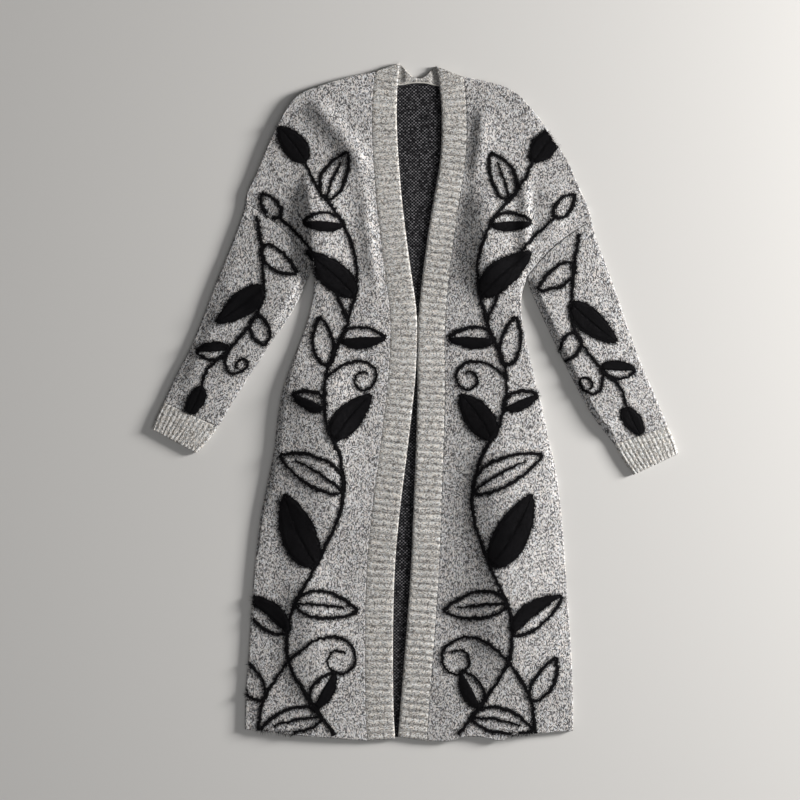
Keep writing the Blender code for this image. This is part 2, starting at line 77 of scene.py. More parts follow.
# Soft shapes
EDGE_ROUND = 1.3 * MM  # how far a rounded edge draws in
SEAM_ROUND = 0.15 * MM  # the same at a seam, which reads as a shallow groove
EDGE_LEAD = 1.9 * MM  # distance from a panel's edge to the next points
BAND_LEAD = 0.035  # the same on a front band, as a share of its width
NECK_LEAD = 0.05  # and on the band behind the neck
TUBE_LEAD = 1.2  # and at a tube's ends, in mm
RIB_FLANK = 0.42  # share of a rib over which it rises, and falls again
NOTCH_DEPTH = 0.10  # groove between a rib's two wales, as a share of its height
NOTCH_WIDTH = 0.10  # the same, as a share of the rib's width
RIB_WANDER = 0.9 * MM  # how far a band's ribs stray from straight lines
RIB_EDGE = 0.12  # share of a band's width over which its ribs grow at each edge
RIB_EDGE_RISE = 0.25  # share of a rib's height at those edges
FRONT_LOFT = 2.2 * MM  # how far a front panel swells between its edges
FOLD_FADE = 0.10  # share of a panel's width over which folds die out at its edges
HEM_FADE = 1 / 12  # the same along its length, at the hem
SHOULDER_FADE = 1 / 28  # and at the shoulder
FOLD_TAPER = 0.3  # share of a fold's length over which it rises at each end
ARMHOLE_BOW = 8.0 * MM  # how far an armhole seam bows up from its chord
TUBE_CLEAR = 0.6 * MM  # space between the two layers of a flat sleeve, at its folded edges
TUBE_RADIUS = WALL + TUBE_CLEAR / 2
TUBE_SWELL = 0.8  # power of the sine that a tube's loft follows
TUBE_DROP = 0.35 * MM  # how far the rings at a tube's ends draw in
OVER_EDGE = (180, 155, 130, 108)  # angles of the points on the folded edge over the arm
UNDER_EDGE = (72, 50, 25, 0, -25, -50, -72)  # the same on the edge under it
CLOSING_EDGE = (252, 230, 205)  # and from there back to the start
ARMHOLE_REACH = 45 * MM  # how far down a sleeve the armhole's bow is felt
SLEEVE_FADE = 25 * MM  # stretch over which a sleeve's folds die out at its ends
SLEEVE_SIDE = 0.06  # share of a sleeve's width over which they die out at its edges
NECK_ROLL = 2.4 * MM  # how much thicker the neck band is where its edge is rolled under
RIPPLE = 0.40 * MM  # height of the cloth's small uneven waves
RIPPLE_SIZE = 42 * MM  # spacing of those waves
RIPPLE_FADE = 20 * MM  # stretch over which they begin below the armhole

Point = namedtuple("Point", "x y")
Strip = namedtuple("Strip", "free_x free_y seam_x seam_y")
View = namedtuple("View", "low_x high_x fade")
Cross = namedtuple("Cross", "outer_x outer_y inner_x inner_y loft")
Fold = namedtuple("Fold", "x1 y1 x2 y2 bow height right_width left_width")
Front = namedtuple("Front", "node band side shoulder hem toward_side seed")

# Front bands, hem to shoulder: the free edge and the seam to the front panel, in mm
RIGHT_BAND = [
    Strip(-29.5, -496.5, -71.0, -499.0),
    Strip(-32.0, -440.0, -73.5, -440.0),
    Strip(-32.4, -340.0, -74.0, -340.0),
    Strip(-29.5, -240.0, -71.0, -240.0),
    Strip(-21.4, -152.0, -62.5, -152.0),
    Strip(-10.3, -63.0, -51.0, -63.0),
    Strip(-0.5, 25.0, -40.8, 25.0),
    Strip(2.8, 84.0, -37.0, 84.0),
    Strip(2.0, 135.0, -37.5, 135.0),
    Strip(-10.3, 224.0, -48.8, 224.0),
    Strip(-20.6, 312.0, -58.6, 312.0),
    Strip(-26.5, 400.0, -63.6, 400.0),
    Strip(-26.5, 452.0, -62.8, 452.0),
    Strip(-22.8, 499.5, -59.0, 487.0),
]
LEFT_BAND = [
    Strip(-25.0, -493.5, 17.0, -499.5),
    Strip(-19.0, -417.0, 23.0, -417.0),
    Strip(-11.8, -328.0, 30.0, -328.0),
    Strip(-5.9, -240.0, 35.8, -240.0),
    Strip(-2.2, -152.0, 39.0, -152.0),
    Strip(1.6, -63.0, 42.2, -63.0),
    Strip(3.6, 25.0, 44.0, 25.0),
    Strip(3.9, 106.0, 43.8, 106.0),
    Strip(10.3, 180.0, 49.5, 180.0),
    Strip(22.1, 268.0, 60.8, 268.0),
    Strip(36.8, 356.0, 74.2, 356.0),
    Strip(39.2, 423.0, 76.0, 423.0),
    Strip(35.6, 468.0, 72.6, 468.0),
    Strip(30.5, 495.0, 70.7, 479.5),
]

# Sides of the body, hem to underarm, in mm
RIGHT_SIDE = [
    Point(-250.4, -482.4), Point(-249.0, -424.0), Point(-244.5, -365.0), Point(-240.0, -292.0),
    Point(-235.7, -240.0), Point(-228.0, -174.0), Point(-218.0, -122.0), Point(-207.7, -70.7),
    Point(-201.8, -19.0), Point(-194.4, 19.0), Point(-181.0, 59.0), Point(-168.0, 91.3),
    Point(-156.0, 127.0), Point(-149.0, 162.0), Point(-150.0, 203.0),
]
LEFT_SIDE = [
    Point(232.7, -484.6), Point(232.7, -431.6), Point(229.8, -365.0), Point(225.4, -299.0),
    Point(221.0, -233.0), Point(215.0, -159.0), Point(206.0, -93.0), Point(196.0, -51.6),
    Point(188.5, -11.8), Point(179.7, 22.0), Point(171.0, 59.0), Point(163.5, 91.3),
    Point(157.0, 128.0), Point(157.6, 157.6), Point(165.0, 184.0),
]

# Shoulders, from the tip where the sleeve joins to the neck point, in mm
RIGHT_SHOULDER = [
    Point(-250.4, 293.0), Point(-246.0, 312.0), Point(-234.2, 336.0), Point(-216.5, 378.6),
    Point(-197.4, 418.0), Point(-181.0, 444.0), Point(-165.0, 456.6), Point(-135.5, 467.7),
    Point(-95.7, 479.5), Point(-59.0, 487.0),
]
LEFT_SHOULDER = [
    Point(260.7, 266.6), Point(254.8, 287.2), Point(240.0, 319.6), Point(225.4, 353.5),
    Point(203.3, 387.4), Point(184.0, 417.0), Point(168.0, 436.0), Point(151.7, 453.0),
    Point(129.6, 465.5), Point(100.2, 473.6), Point(70.7, 479.5),
]

# Hems of the front panels, from the side to the band, and of the back panel, in mm
RIGHT_HEM = [
    Point(-250.4, -482.4), Point(-213.0, -487.0), Point(-171.0, -491.5), Point(-120.0, -495.5),
    Point(-71.0, -499.0),
]
LEFT_HEM = [
    Point(232.7, -484.6), Point(184.0, -488.0), Point(143.0, -491.0), Point(126.0, -498.5),
    Point(94.0, -493.0), Point(69.0, -494.0), Point(50.0, -499.5), Point(17.0, -499.5),
]
BACK_HEM = [
    Point(-250.4, -482.4), Point(-120.0, -492.0), Point(-20.0, -494.0), Point(100.0, -490.0),
    Point(232.7, -484.6),
]

# Back of the neck: the seam to the back panel, and the free edge of the band above it, in mm
NECK_SEAM = [
    Point(-59.0, 487.0), Point(-41.0, 476.0), Point(-25.0, 468.0), Point(-4.0, 470.5),
    Point(15.0, 470.5), Point(37.0, 466.5), Point(52.0, 471.5), Point(70.7, 479.5),
]
NECK_EDGE = [
    Point(-22.8, 499.5), Point(-13.0, 489.5), Point(-3.5, 480.0), Point(4.0, 477.5),
    Point(10.0, 478.0), Point(20.0, 486.0), Point(30.5, 495.0),
]
# The stretch of the neck band that the front bands leave in view, and how softly it thickens, in mm
NECK_VIEW = View(-20.5, 27.5, 8.0)

# Sleeves, armhole to cuff seam: the edge over the arm, the edge under it and the upper layer's loft
RIGHT_SLEEVE = [
    Cross(-250.4, 293.0, -150.0, 203.0, 0.3),
    Cross(-256.3, 271.0, -156.0, 185.6, 1.6),
    Cross(-274.0, 224.0, -171.0, 151.7, 3.0),
    Cross(-293.0, 178.0, -190.0, 118.0, 2.4),
    Cross(-311.0, 129.6, -212.0, 87.0, 3.2),
    Cross(-331.4, 79.5, -234.0, 53.0, 2.6),
    Cross(-350.6, 42.7, -259.0, 14.7, 3.0),
    Cross(-371.2, 0.0, -290.0, -36.8, 0.8),
]
LEFT_SLEEVE = [
    Cross(260.7, 266.6, 165.0, 184.0, 0.3),
    Cross(266.6, 243.0, 169.4, 166.4, 1.6),
    Cross(281.3, 203.3, 179.7, 143.0, 3.1),
    Cross(299.0, 154.7, 196.0, 107.5, 2.5),
    Cross(316.7, 103.0, 215.0, 67.8, 3.2),
    Cross(335.8, 51.6, 235.7, 26.5, 2.5),
    Cross(355.0, 7.4, 260.7, -19.0, 3.0),
    Cross(372.7, -35.4, 293.1, -61.9, 0.8),
]
RIGHT_CUFF = [
    Cross(-371.2, 0.0, -290.0, -36.8, 0.6),
    Cross(-381.0, -21.0, -304.5, -57.0, 1.0),
    Cross(-388.2, -39.8, -321.7, -75.7, 0.3),
]
LEFT_CUFF = [
    Cross(372.7, -35.4, 293.1, -61.9, 0.6),
    Cross(382.5, -57.5, 306.5, -85.5, 1.0),
    Cross(388.2, -76.6, 321.9, -107.5, 0.3),
]

# Folds pressed into the fronts: the ends of each crest, how far it bows to the left of its run, its
# height, and how wide it falls away to the right and to the left of its run, in mm
FRONT_FOLDS = [
    Fold(-176, 474, -52, 316, 5, 8.0, 18, 11),
    Fold(-160, 356, -148, 140, 4, 9.5, 14, 34),
    Fold(-66, 344, -48, 150, -6, 5.5, 18, 12),
    Fold(-126, 84, -136, -200, 6, 9.5, 64, 30),
    Fold(-170, -190, -146, -470, 6, 6.0, 34, 28),
    Fold(100, 448, 78, 318, 3, 4.6, 10, 18),
    Fold(110, 340, 112, 140, -4, 9.5, 28, 42),
    Fold(163, 348, 164, 190, 0, 5.5, 12, 6),
    Fold(208, 332, 200, 226, 0, 4.5, 26, 20),
    Fold(133, 30, 140, -472, -6, 11.0, 46, 60),
]
# The same on the sleeves' upper layers, counted across from the edge over the arm and down from the
# armhole, on a sleeve as wide as it is at the top. The left of a run down the sleeve is the side of
# the edge over the arm.
RIGHT_SLEEVE_FOLDS = [
    Fold(125, 10, 121, 150, 2, 4.5, 6, 34),
    Fold(26, 70, 34, 290, 6, 2.4, 30, 14),
    Fold(20, 190, 120, 214, 4, 1.8, 10, 10),
    Fold(14, 120, 96, 98, -4, 1.6, 9, 9),
]
LEFT_SLEEVE_FOLDS = [
    Fold(126, -60, 124, 380, 0, 4.2, 8, 38),
    Fold(18, 90, 112, 60, 4, 1.9, 9, 9),
    Fold(24, 250, 110, 226, 3, 1.7, 9, 9),
    Fold(16, 168, 100, 150, 4, 1.5, 9, 9),
]

FRONTS = [
    Front("front_right", RIGHT_BAND, RIGHT_SIDE, RIGHT_SHOULDER, RIGHT_HEM, -1, 1),
    Front("front_left", LEFT_BAND, LEFT_SIDE, LEFT_SHOULDER, LEFT_HEM, 1, 2),
]


# Curves and grids

def smooth_line(table, steps_per_span=24):
    """Return dense points in metres on a smooth curve through the table's points."""
    knots = np.array(table, float) * MM
    before = 2 * knots[0] - knots[1]
    after = 2 * knots[-1] - knots[-2]
    knots = np.vstack([before, knots, after])
    line = []
    for a, b, c, d in zip(knots, knots[1:], knots[2:], knots[3:]):
        for t in np.arange(steps_per_span) / steps_per_span:
            line.append(0.5 * (2 * b + (c - a) * t + (2 * a - 5 * b + 4 * c - d) * t ** 2
                               + (3 * b - a - 3 * c + d) * t ** 3))
    line.append(knots[-2])
    return np.array(line)


def distances(line):
    """Return how far along a line each of its points lies."""
    return np.concatenate([[0.0], np.cumsum(np.linalg.norm(np.diff(line, axis=0), axis=1))])


def at_shares(line, shares):
    """Return the points at the given shares of a line's length."""
    lengths = distances(line)
    return np.column_stack([np.interp(np.asarray(shares) * lengths[-1], lengths, line[:, k])
                            for k in range(line.shape[1])])


def unit(vectors):
    """Return vectors scaled to a length of 1."""
    return vectors / np.linalg.norm(vectors, axis=-1, keepdims=True)


def left_of(direction):
    """Return plan directions turned a quarter anticlockwise."""
    return np.stack([-direction[..., 1], direction[..., 0]], -1)


def even(spaces):
    """Return the shares that divide a length into equal spaces."""
    return np.linspace(0.0, 1.0, spaces + 1)


def smooth_step(value):
    """Rise smoothly from 0 to 1."""
    value = np.clip(value, 0.0, 1.0)
    return value * value * (3 - 2 * value)


def armhole_bow(underarm, tip, shares):
    """Return how far an armhole seam bows up from its chord at each share of its length."""
    shares = np.asarray(shares)[:, None]
    across = unit(left_of(tip - underarm))
    if across[1] < 0:
        across = -across
    return across * ARMHOLE_BOW * 4 * shares * (1 - shares)


def armhole(underarm, tip, shares):
    """Return points along an armhole seam."""
    chord = tip - underarm
    return underarm + chord * np.asarray(shares)[:, None] + armhole_bow(underarm, tip, shares)


def outer_edge(side, shoulder, side_rows):
    """Return a panel's outer edge from the hem up the side and along the armhole."""
    up_side = at_shares(smooth_line(side), even(side_rows))
    underarm = up_side[-1]
    tip = np.array(shoulder[0]) * MM
    return np.vstack([up_side, armhole(underarm, tip, even(ARMHOLE_ROWS)[1:])])


def patch(inner, outer, bottom, top):
    """Fill four edges with a grid of plan points: rows run from the bottom to the top edge, and
    each row from the inner to the outer edge."""
    rise = np.linspace(0, 1, len(inner))[:, None, None]
    across = np.linspace(0, 1, len(bottom))[None, :, None]
    sides = (1 - across) * inner[:, None, :] + across * outer[:, None, :]
    ends = (1 - rise) * bottom[None, :, :] + rise * top[None, :, :]
    corners = ((1 - rise) * ((1 - across) * bottom[0] + across * bottom[-1])
               + rise * ((1 - across) * top[0] + across * top[-1]))
    return sides + ends - corners


def edged(spaces, lead):
    """Return even shares with one more close to each end, so that an edge's rounding stays small."""
    shares = even(spaces)
    return np.concatenate([shares[:1], [lead], shares[1:-1], [1 - lead], shares[-1:]])


def with_edges(grid, lead):
    """Add a row or column of points close to each border of a grid, whose first two values are
    plan points."""
    for _ in range(2):
        first = np.linalg.norm((grid[1] - grid[0])[:, :2], axis=1)[:, None]
        last = np.linalg.norm((grid[-2] - grid[-1])[:, :2], axis=1)[:, None]
        near_first = grid[0] + (grid[1] - grid[0]) * (lead / first)
        near_last = grid[-1] + (grid[-2] - grid[-1]) * (lead / last)
        grid = np.concatenate([grid[:1], near_first[None], grid[1:-1], near_last[None], grid[-1:]])
        grid = grid.transpose(1, 0, 2)
    return grid


def drawn_in(plan, first_row, last_row, first_column, last_column):
    """Move a grid's border towards its inside by the distance given for each edge."""
    moved = plan.copy()
    moved[0] += unit(plan[1] - plan[0]) * first_row
    moved[-1] += unit(plan[-2] - plan[-1]) * last_row
    moved[:, 0] += unit(plan[:, 1] - plan[:, 0]) * first_column
    moved[:, -1] += unit(plan[:, -2] - plan[:, -1]) * last_column
    return moved


def with_height(plan, height):
    """Add a height to each plan point."""
    return np.concatenate([plan, np.broadcast_to(height, plan.shape[:2])[..., None]], axis=-1)


def border(grid):
    """Return a grid's border points in order, all the way round."""
    return np.concatenate([grid[0, :-1], grid[:-1, -1], grid[-1, :0:-1], grid[:0:-1, 0]])


def ripples(plan, seed):
    """Return the cloth's small uneven waves at each plan point."""
    waves = []
    for x, y in plan.reshape(-1, 2) / RIPPLE_SIZE:
        broad = noise.noise(Vector((x, y * 0.7, seed)))
        waves.append(broad + 0.5 * noise.noise(Vector((2.3 * x, 2.0 * y, seed + 9))))
    return RIPPLE * np.array(waves).reshape(plan.shape[:2])


def fold_height(plan, folds):
    """Return how far a table of folds lifts the cloth at each plan point."""
    lift = np.zeros(plan.shape[:2])
    for fold in folds:
        start = np.array([fold.x1, fold.y1]) * MM
        run = np.array([fold.x2, fold.y2]) * MM - start
        length = np.linalg.norm(run)
        ahead = run / length
        offset = plan - start
        along = offset @ ahead / length
        away = offset @ left_of(ahead) - fold.bow * MM * 4 * along * (1 - along)
        width = np.where(away > 0, fold.left_width, fold.right_width) * MM
        taper = smooth_step(along / FOLD_TAPER) * smooth_step((1 - along) / FOLD_TAPER)
        lift += fold.height * MM * taper * np.exp(-(away / width) ** 2)
    return lift


# Meshes

def add_mesh(name, points, faces, materials, slots=None, knit=None):
    """Make a smooth mesh object. knit is each point's place in the fabric: along its courses and along its
    wales, in metres, and for rib knit the height of its rib, from 0 to 1, which sets the painted shade in
    the valleys between ribs."""
    mesh = bpy.data.meshes.new(name)
    mesh.from_pydata([tuple(point) for point in points], [], faces)
    for entry in materials:
        mesh.materials.append(entry)
    if slots is not None:
        mesh.polygons.foreach_set("material_index", slots)
    if knit is not None:
        place = mesh.attributes.new("knit", "FLOAT_VECTOR", "POINT")
        flat = np.zeros((len(points), 3), np.float32)
        flat[:, :knit.shape[1]] = knit
        place.data.foreach_set("vector", flat.ravel())
    mesh.shade_smooth()
    piece = bpy.data.objects.new(name, mesh)
    bpy.context.collection.objects.link(piece)
    return piece


def grid_quads(numbers):
    """Return the quads between the rows and columns of a grid of point numbers."""
    return np.stack([numbers[:-1, :-1], numbers[:-1, 1:], numbers[1:, 1:], numbers[1:, :-1]],
                    -1).reshape(-1, 4)


def ring_quads(rings):
    """Return the quads between closed rings of point numbers."""
    return grid_quads(np.hstack([rings, rings[:, :1]]))


def rim_quads(high, low):
    """Return the quads between two loops of point numbers."""
    return np.stack([high, low, np.roll(low, -1), np.roll(high, -1)], -1)


def facing_up(grid):
    """Return 1 if a grid's quads, taken in order, face up, and -1 if they face down."""
    a, b, c = grid[0, 0], grid[0, 1], grid[1, 0]
    return 1 if np.cross(b - a, c - a)[2] > 0 else -1


def cloth_wall(name, plan, skin, low, high, materials, knit):
    """Make a wall of cloth between two heights. Its faces lie on the skin's plan points, and three
    rims round its edge out to the plan's border. The first material is the upper face's and the
    last one the lower face's."""
    upper = with_height(skin, high)
    rims = round_rims(plan, skin, low, high)
    numbers = np.arange(upper.size // 3).reshape(upper.shape[:2])
    turn = facing_up(upper)
    top = grid_quads(numbers)[:, ::turn]
    faces = [*top.tolist(), *(top[:, ::-1] + numbers.size).tolist()]
    slots = [0] * len(top) + [len(materials) - 1] * len(top)
    loops = [border(numbers)]
    start = 2 * numbers.size
    for rim in rims:
        loops.append(np.arange(start, start + len(rim)))
        start += len(rim)
    loops.append(border(numbers) + numbers.size)
    for above, below in zip(loops, loops[1:]):
        ring = rim_quads(above, below)[:, ::turn]
        faces.extend(ring.tolist())
        slots.extend([0] * len(ring))
    points = np.vstack([upper.reshape(-1, 3), with_height(skin, low).reshape(-1, 3), *rims])
    flat = knit.reshape(numbers.size, -1)
    places = np.vstack([flat, flat, *[border(knit)] * len(rims)])
    return add_mesh(name, points, faces, materials, slots, places)


def round_rims(plan, inner_plan, low, high):
    """Return three rims of points that round a wall's edge."""
    rims = []
    for angle in (45, 90, 135):
        reach = sin(radians(angle))
        share = (1 - cos(radians(180 - angle))) / 2
        ring = inner_plan * (1 - reach) + plan * reach
        rims.append(border(with_height(ring, low + (high - low) * share)))
    return rims


# Pieces of the garment

def neck_seam():
    """Return the points that the back panel and the neck band share along the back neck."""
    return at_shares(smooth_line(NECK_SEAM), even(NECK_COLUMNS))


def build_back(looks):
    """Back panel: flat on the surface, its inner face in view between the bands."""
    right = outer_edge(RIGHT_SIDE, RIGHT_SHOULDER, BACK_ROWS)
    left = outer_edge(LEFT_SIDE, LEFT_SHOULDER, BACK_ROWS)
    right_shoulder = at_shares(smooth_line(RIGHT_SHOULDER), even(SHOULDER_COLUMNS))
    left_shoulder = at_shares(smooth_line(LEFT_SHOULDER), even(SHOULDER_COLUMNS))
    top = np.vstack([right_shoulder, neck_seam()[1:-1], left_shoulder[::-1]])
    bottom = at_shares(smooth_line(BACK_HEM), even(len(top) - 1))
    plan = with_edges(patch(right, left, bottom, top), EDGE_LEAD)
    skin = drawn_in(plan, EDGE_ROUND, EDGE_ROUND, EDGE_ROUND, EDGE_ROUND)
    back = cloth_wall("back_cloth", plan, skin, 0.0, WALL, [looks.marl, looks.inside], plan)
    for face in back.data.polygons:
        face.material_index = int(face.normal.z > 0.5)
    return back


def seam_line(band):
    """Return the line along which a front band is linked to its front panel."""
    return smooth_line([(strip.seam_x, strip.seam_y) for strip in band])


def build_front(front, looks):
    """Front panel: from the band's seam to the side, lying on the back panel."""
    outer = outer_edge(front.side, front.shoulder, SIDE_ROWS)
    below = even(SIDE_ROWS) * UNDERARM_SHARE
    above = UNDERARM_SHARE + even(ARMHOLE_ROWS)[1:] * (1 - UNDERARM_SHARE)
    inner = at_shares(seam_line(front.band), np.concatenate([below, above]))
    inner += [-front.toward_side * BAND_LAP, 0.0]
    bottom = at_shares(smooth_line(front.hem), even(FRONT_COLUMNS))[::-1].copy()
    top = at_shares(smooth_line(front.shoulder), even(FRONT_COLUMNS))[::-1].copy()
    bottom[0] = inner[0]
    top[0] = inner[-1]
    plan = patch(inner, outer, bottom, top)
    rows, columns = plan.shape[:2]
    across, rise = np.meshgrid(even(columns - 1), even(rows - 1))
    grid = with_edges(np.concatenate([plan, across[..., None], rise[..., None]], -1), EDGE_LEAD)
    plan, across, rise = grid[..., :2], grid[..., 2], grid[..., 3]
    inside = smooth_step(np.minimum(across, 1 - across) / FOLD_FADE)
    inside = inside * smooth_step(rise / HEM_FADE) * smooth_step((1 - rise) / SHOULDER_FADE)
    soft = fold_height(plan, FRONT_FOLDS) + RIPPLE + ripples(plan, float(front.seed))
    low = FRONT_LEVEL + (FRONT_LOFT * 4 * across * (1 - across) + soft * inside)
    skin = drawn_in(plan, EDGE_ROUND, EDGE_ROUND, SEAM_ROUND, EDGE_ROUND)
    return cloth_wall(front.node + "_cloth", plan, skin, low, low + WALL, [looks.marl, looks.inside], plan)


def rib_height(place):
    """Return the height of a two-by-two rib, from 0 to 1, at a place counted in ribs."""
    share = place % 1.0
    crown = smooth_step(share / RIB_FLANK) * smooth_step((1 - share) / RIB_FLANK)
    return crown - NOTCH_DEPTH * np.exp(-((share - 0.5) / NOTCH_WIDTH) ** 2)


def build_band(name, strips, looks):
    """Front band: a strip of rib knit whose ribs run across it."""
    stations = even(BAND_RIBS * RIB_STEPS)
    free = at_shares(smooth_line([(strip.free_x, strip.free_y) for strip in strips]), stations)
    seam = at_shares(seam_line(strips), stations)
    across = edged(BAND_COLUMNS, BAND_LEAD)
    plan = free[:, None] * (1 - across[:, None]) + seam[:, None] * across[:, None]
    middle = (free + seam) / 2
    length = distances(middle)
    ahead = unit(np.gradient(middle, axis=0))
    skew = ((seam - free) * ahead).sum(axis=1)[:, None] * (across - 0.5)
    wander = [[noise.noise(Vector((i * 0.018, j * 0.3, 5.0))) for j in across * BAND_COLUMNS]
              for i in range(len(stations))]
    along = length[:, None] + skew + RIB_WANDER * np.array(wander)
    ribs = rib_height(along / length[-1] * BAND_RIBS)
    swell = smooth_step(across / RIB_EDGE) * smooth_step((1 - across) / RIB_EDGE)
    swell = RIB_EDGE_RISE + (1 - RIB_EDGE_RISE) * swell
    height = FRONT_LEVEL + RIB_WALL + RIB_RISE * ribs * swell
    skin = drawn_in(plan, SEAM_ROUND, SEAM_ROUND, EDGE_ROUND, SEAM_ROUND)
    width = np.linalg.norm(seam - free, axis=1)[:, None]
    knit = np.stack([along, width * across, ribs], -1)
    return cloth_wall(name, plan, skin, FRONT_LEVEL, height, [looks.rib], knit)


def neck_in_view(x):
    """Return 1 where the neck band is in view and 0 where the front bands lie on it."""
    fade = NECK_VIEW.fade * MM
    from_right = smooth_step((x - NECK_VIEW.low_x * MM) / fade)
    return from_right * smooth_step((NECK_VIEW.high_x * MM - x) / fade)


def build_neck_band(looks):
    """Band behind the neck: its free edge turned up at both ends and rolled under in the middle."""
    stations = even(NECK_RIBS * RIB_STEPS)
    seam = at_shares(neck_seam(), stations) + [0.0, SEAM_GAP]
    edge = at_shares(smooth_line(NECK_EDGE), stations)
    up = edged(BAND_COLUMNS, NECK_LEAD)[:, None]
    plan = seam * (1 - up[..., None]) + edge * up[..., None]
    roll = smooth_step(up / 0.5) * (1 - 0.4 * up ** 3)
    swell = smooth_step(up / 0.2) * (1 - 0.7 * up ** 4)
    ribs = rib_height(stations * NECK_RIBS)
    height = WALL + neck_in_view(plan[..., 0]) * (NECK_ROLL * roll + NECK_RISE * swell * ribs)
    skin = drawn_in(plan, SEAM_ROUND, EDGE_ROUND, 0.0, 0.0)
    length = stations * (NECK_SEAM[-1].x - NECK_SEAM[0].x) * MM
    rise = np.linalg.norm(edge - seam, axis=1) * up
    knit = np.stack(np.broadcast_arrays(length, rise, ribs), -1)
    return cloth_wall("neck_band_cloth", plan, skin, 0.0, height, [looks.rib], knit)


def cross_ends(cross):
    """Return a section's points on the edge over the arm and on the edge under it."""
    return np.array(cross[:4]).reshape(2, 2) * MM


def tube_ring(cross, shares, back_shares, draw_in, rib_rise=0.0):
    """Return a ring of points round a flat tube, from the edge over the arm across the upper
    layer and back across the lower one, and each point's distance round the tube."""
    outer, inner = cross_ends(cross)
    width = np.linalg.norm(inner - outer)
    radius = TUBE_RADIUS - draw_in
    flat = width - 2 * TUBE_RADIUS

    def bend(centre, degrees):
        angle = np.radians(degrees)
        return np.column_stack([centre + radius * np.cos(angle), TUBE_RADIUS + radius * np.sin(angle)])

    height = 2 * TUBE_RADIUS - draw_in + cross.loft * MM * np.sin(pi * shares) ** TUBE_SWELL + rib_rise
    ring = np.vstack([
        bend(TUBE_RADIUS, OVER_EDGE),
        np.column_stack([TUBE_RADIUS + flat * shares, height]),
        bend(width - TUBE_RADIUS, UNDER_EDGE),
        np.column_stack([TUBE_RADIUS + flat * back_shares, np.full(len(back_shares), draw_in)]),
        bend(TUBE_RADIUS, CLOSING_EDGE),
    ])
    axis = (inner - outer) / width
    return np.column_stack([outer + axis * ring[:, :1], ring[:, 1]]), distances(ring)


def smooth_rows(rows, spaces):
    """Return evenly spaced sections on smooth curves through a table of sections, and how far down
    the tube each one lies."""
    line = smooth_line(rows) / MM
    lengths = distances((line[:, :2] + line[:, 2:4]) / 2)
    wanted = edged(spaces, TUBE_LEAD / lengths[-1]) * lengths[-1]
    columns = [np.interp(wanted, lengths, line[:, k]) for k in range(5)]
    return [Cross(*values) for values in zip(*columns)], wanted * MM


def follow_armhole(points, cross):
    """Return how far a sleeve's ring moves to follow the armhole seam's bow."""
    outer, inner = cross_ends(cross)
    chord = outer - inner
    return armhole_bow(inner, outer, (points - inner) @ chord / (chord @ chord))


def drape(ring, core, cross, length, whole_length, spread, top_width, folds, seed):
    """Bend a sleeve's ring and its core to the armhole seam, and raise ripples and folds on the
    upper layer. spread is each point's place across the sleeve, from 0 to 1."""
    strength = max(0.0, 1 - length / ARMHOLE_REACH)
    for face in (ring, core):
        face[:, :2] += follow_armhole(face[:, :2], cross) * strength
    in_table = np.column_stack([spread * top_width, np.full(len(ring), length)])[None]
    soft = ripples(ring[None, :, :2], seed)[0] * min(1.0, length / RIPPLE_FADE)
    ends = smooth_step(length / SLEEVE_FADE) * smooth_step((whole_length - length) / SLEEVE_FADE)
    sides = smooth_step(np.minimum(spread, 1 - spread) / SLEEVE_SIDE)
    soft = soft + fold_height(in_table, folds)[0] * ends * sides
    soft = soft * smooth_step((ring[:, 2] - TUBE_RADIUS) / (TUBE_RADIUS * 0.9))
    ring[:, 2] += soft
    core[:, 2] += soft * smooth_step((core[:, 2] - TUBE_RADIUS) / (0.2 * MM))


def tube_mesh(name, outside, inside, knit, materials):
    """Join a tube's outer and inner rings into one closed wall."""
    numbers = np.arange(len(outside) * len(outside[0])).reshape(len(outside), -1)
    core = numbers + numbers.size
    skin = ring_quads(numbers)
    end = np.stack([numbers[-1], np.roll(numbers[-1], -1), np.roll(core[-1], -1), core[-1]], -1)
    faces = np.vstack([skin, ring_quads(core)[:, ::-1], rim_quads(numbers[0], core[0]), end])
    points = np.vstack([*outside, *inside])
    slots = [0] * len(skin) + [1] * len(skin) + [0] * (2 * len(end))
    if volume(points, faces) < 0:
        faces = faces[:, ::-1]
    return add_mesh(name, points, faces.tolist(), materials, slots, np.vstack(knit + knit))


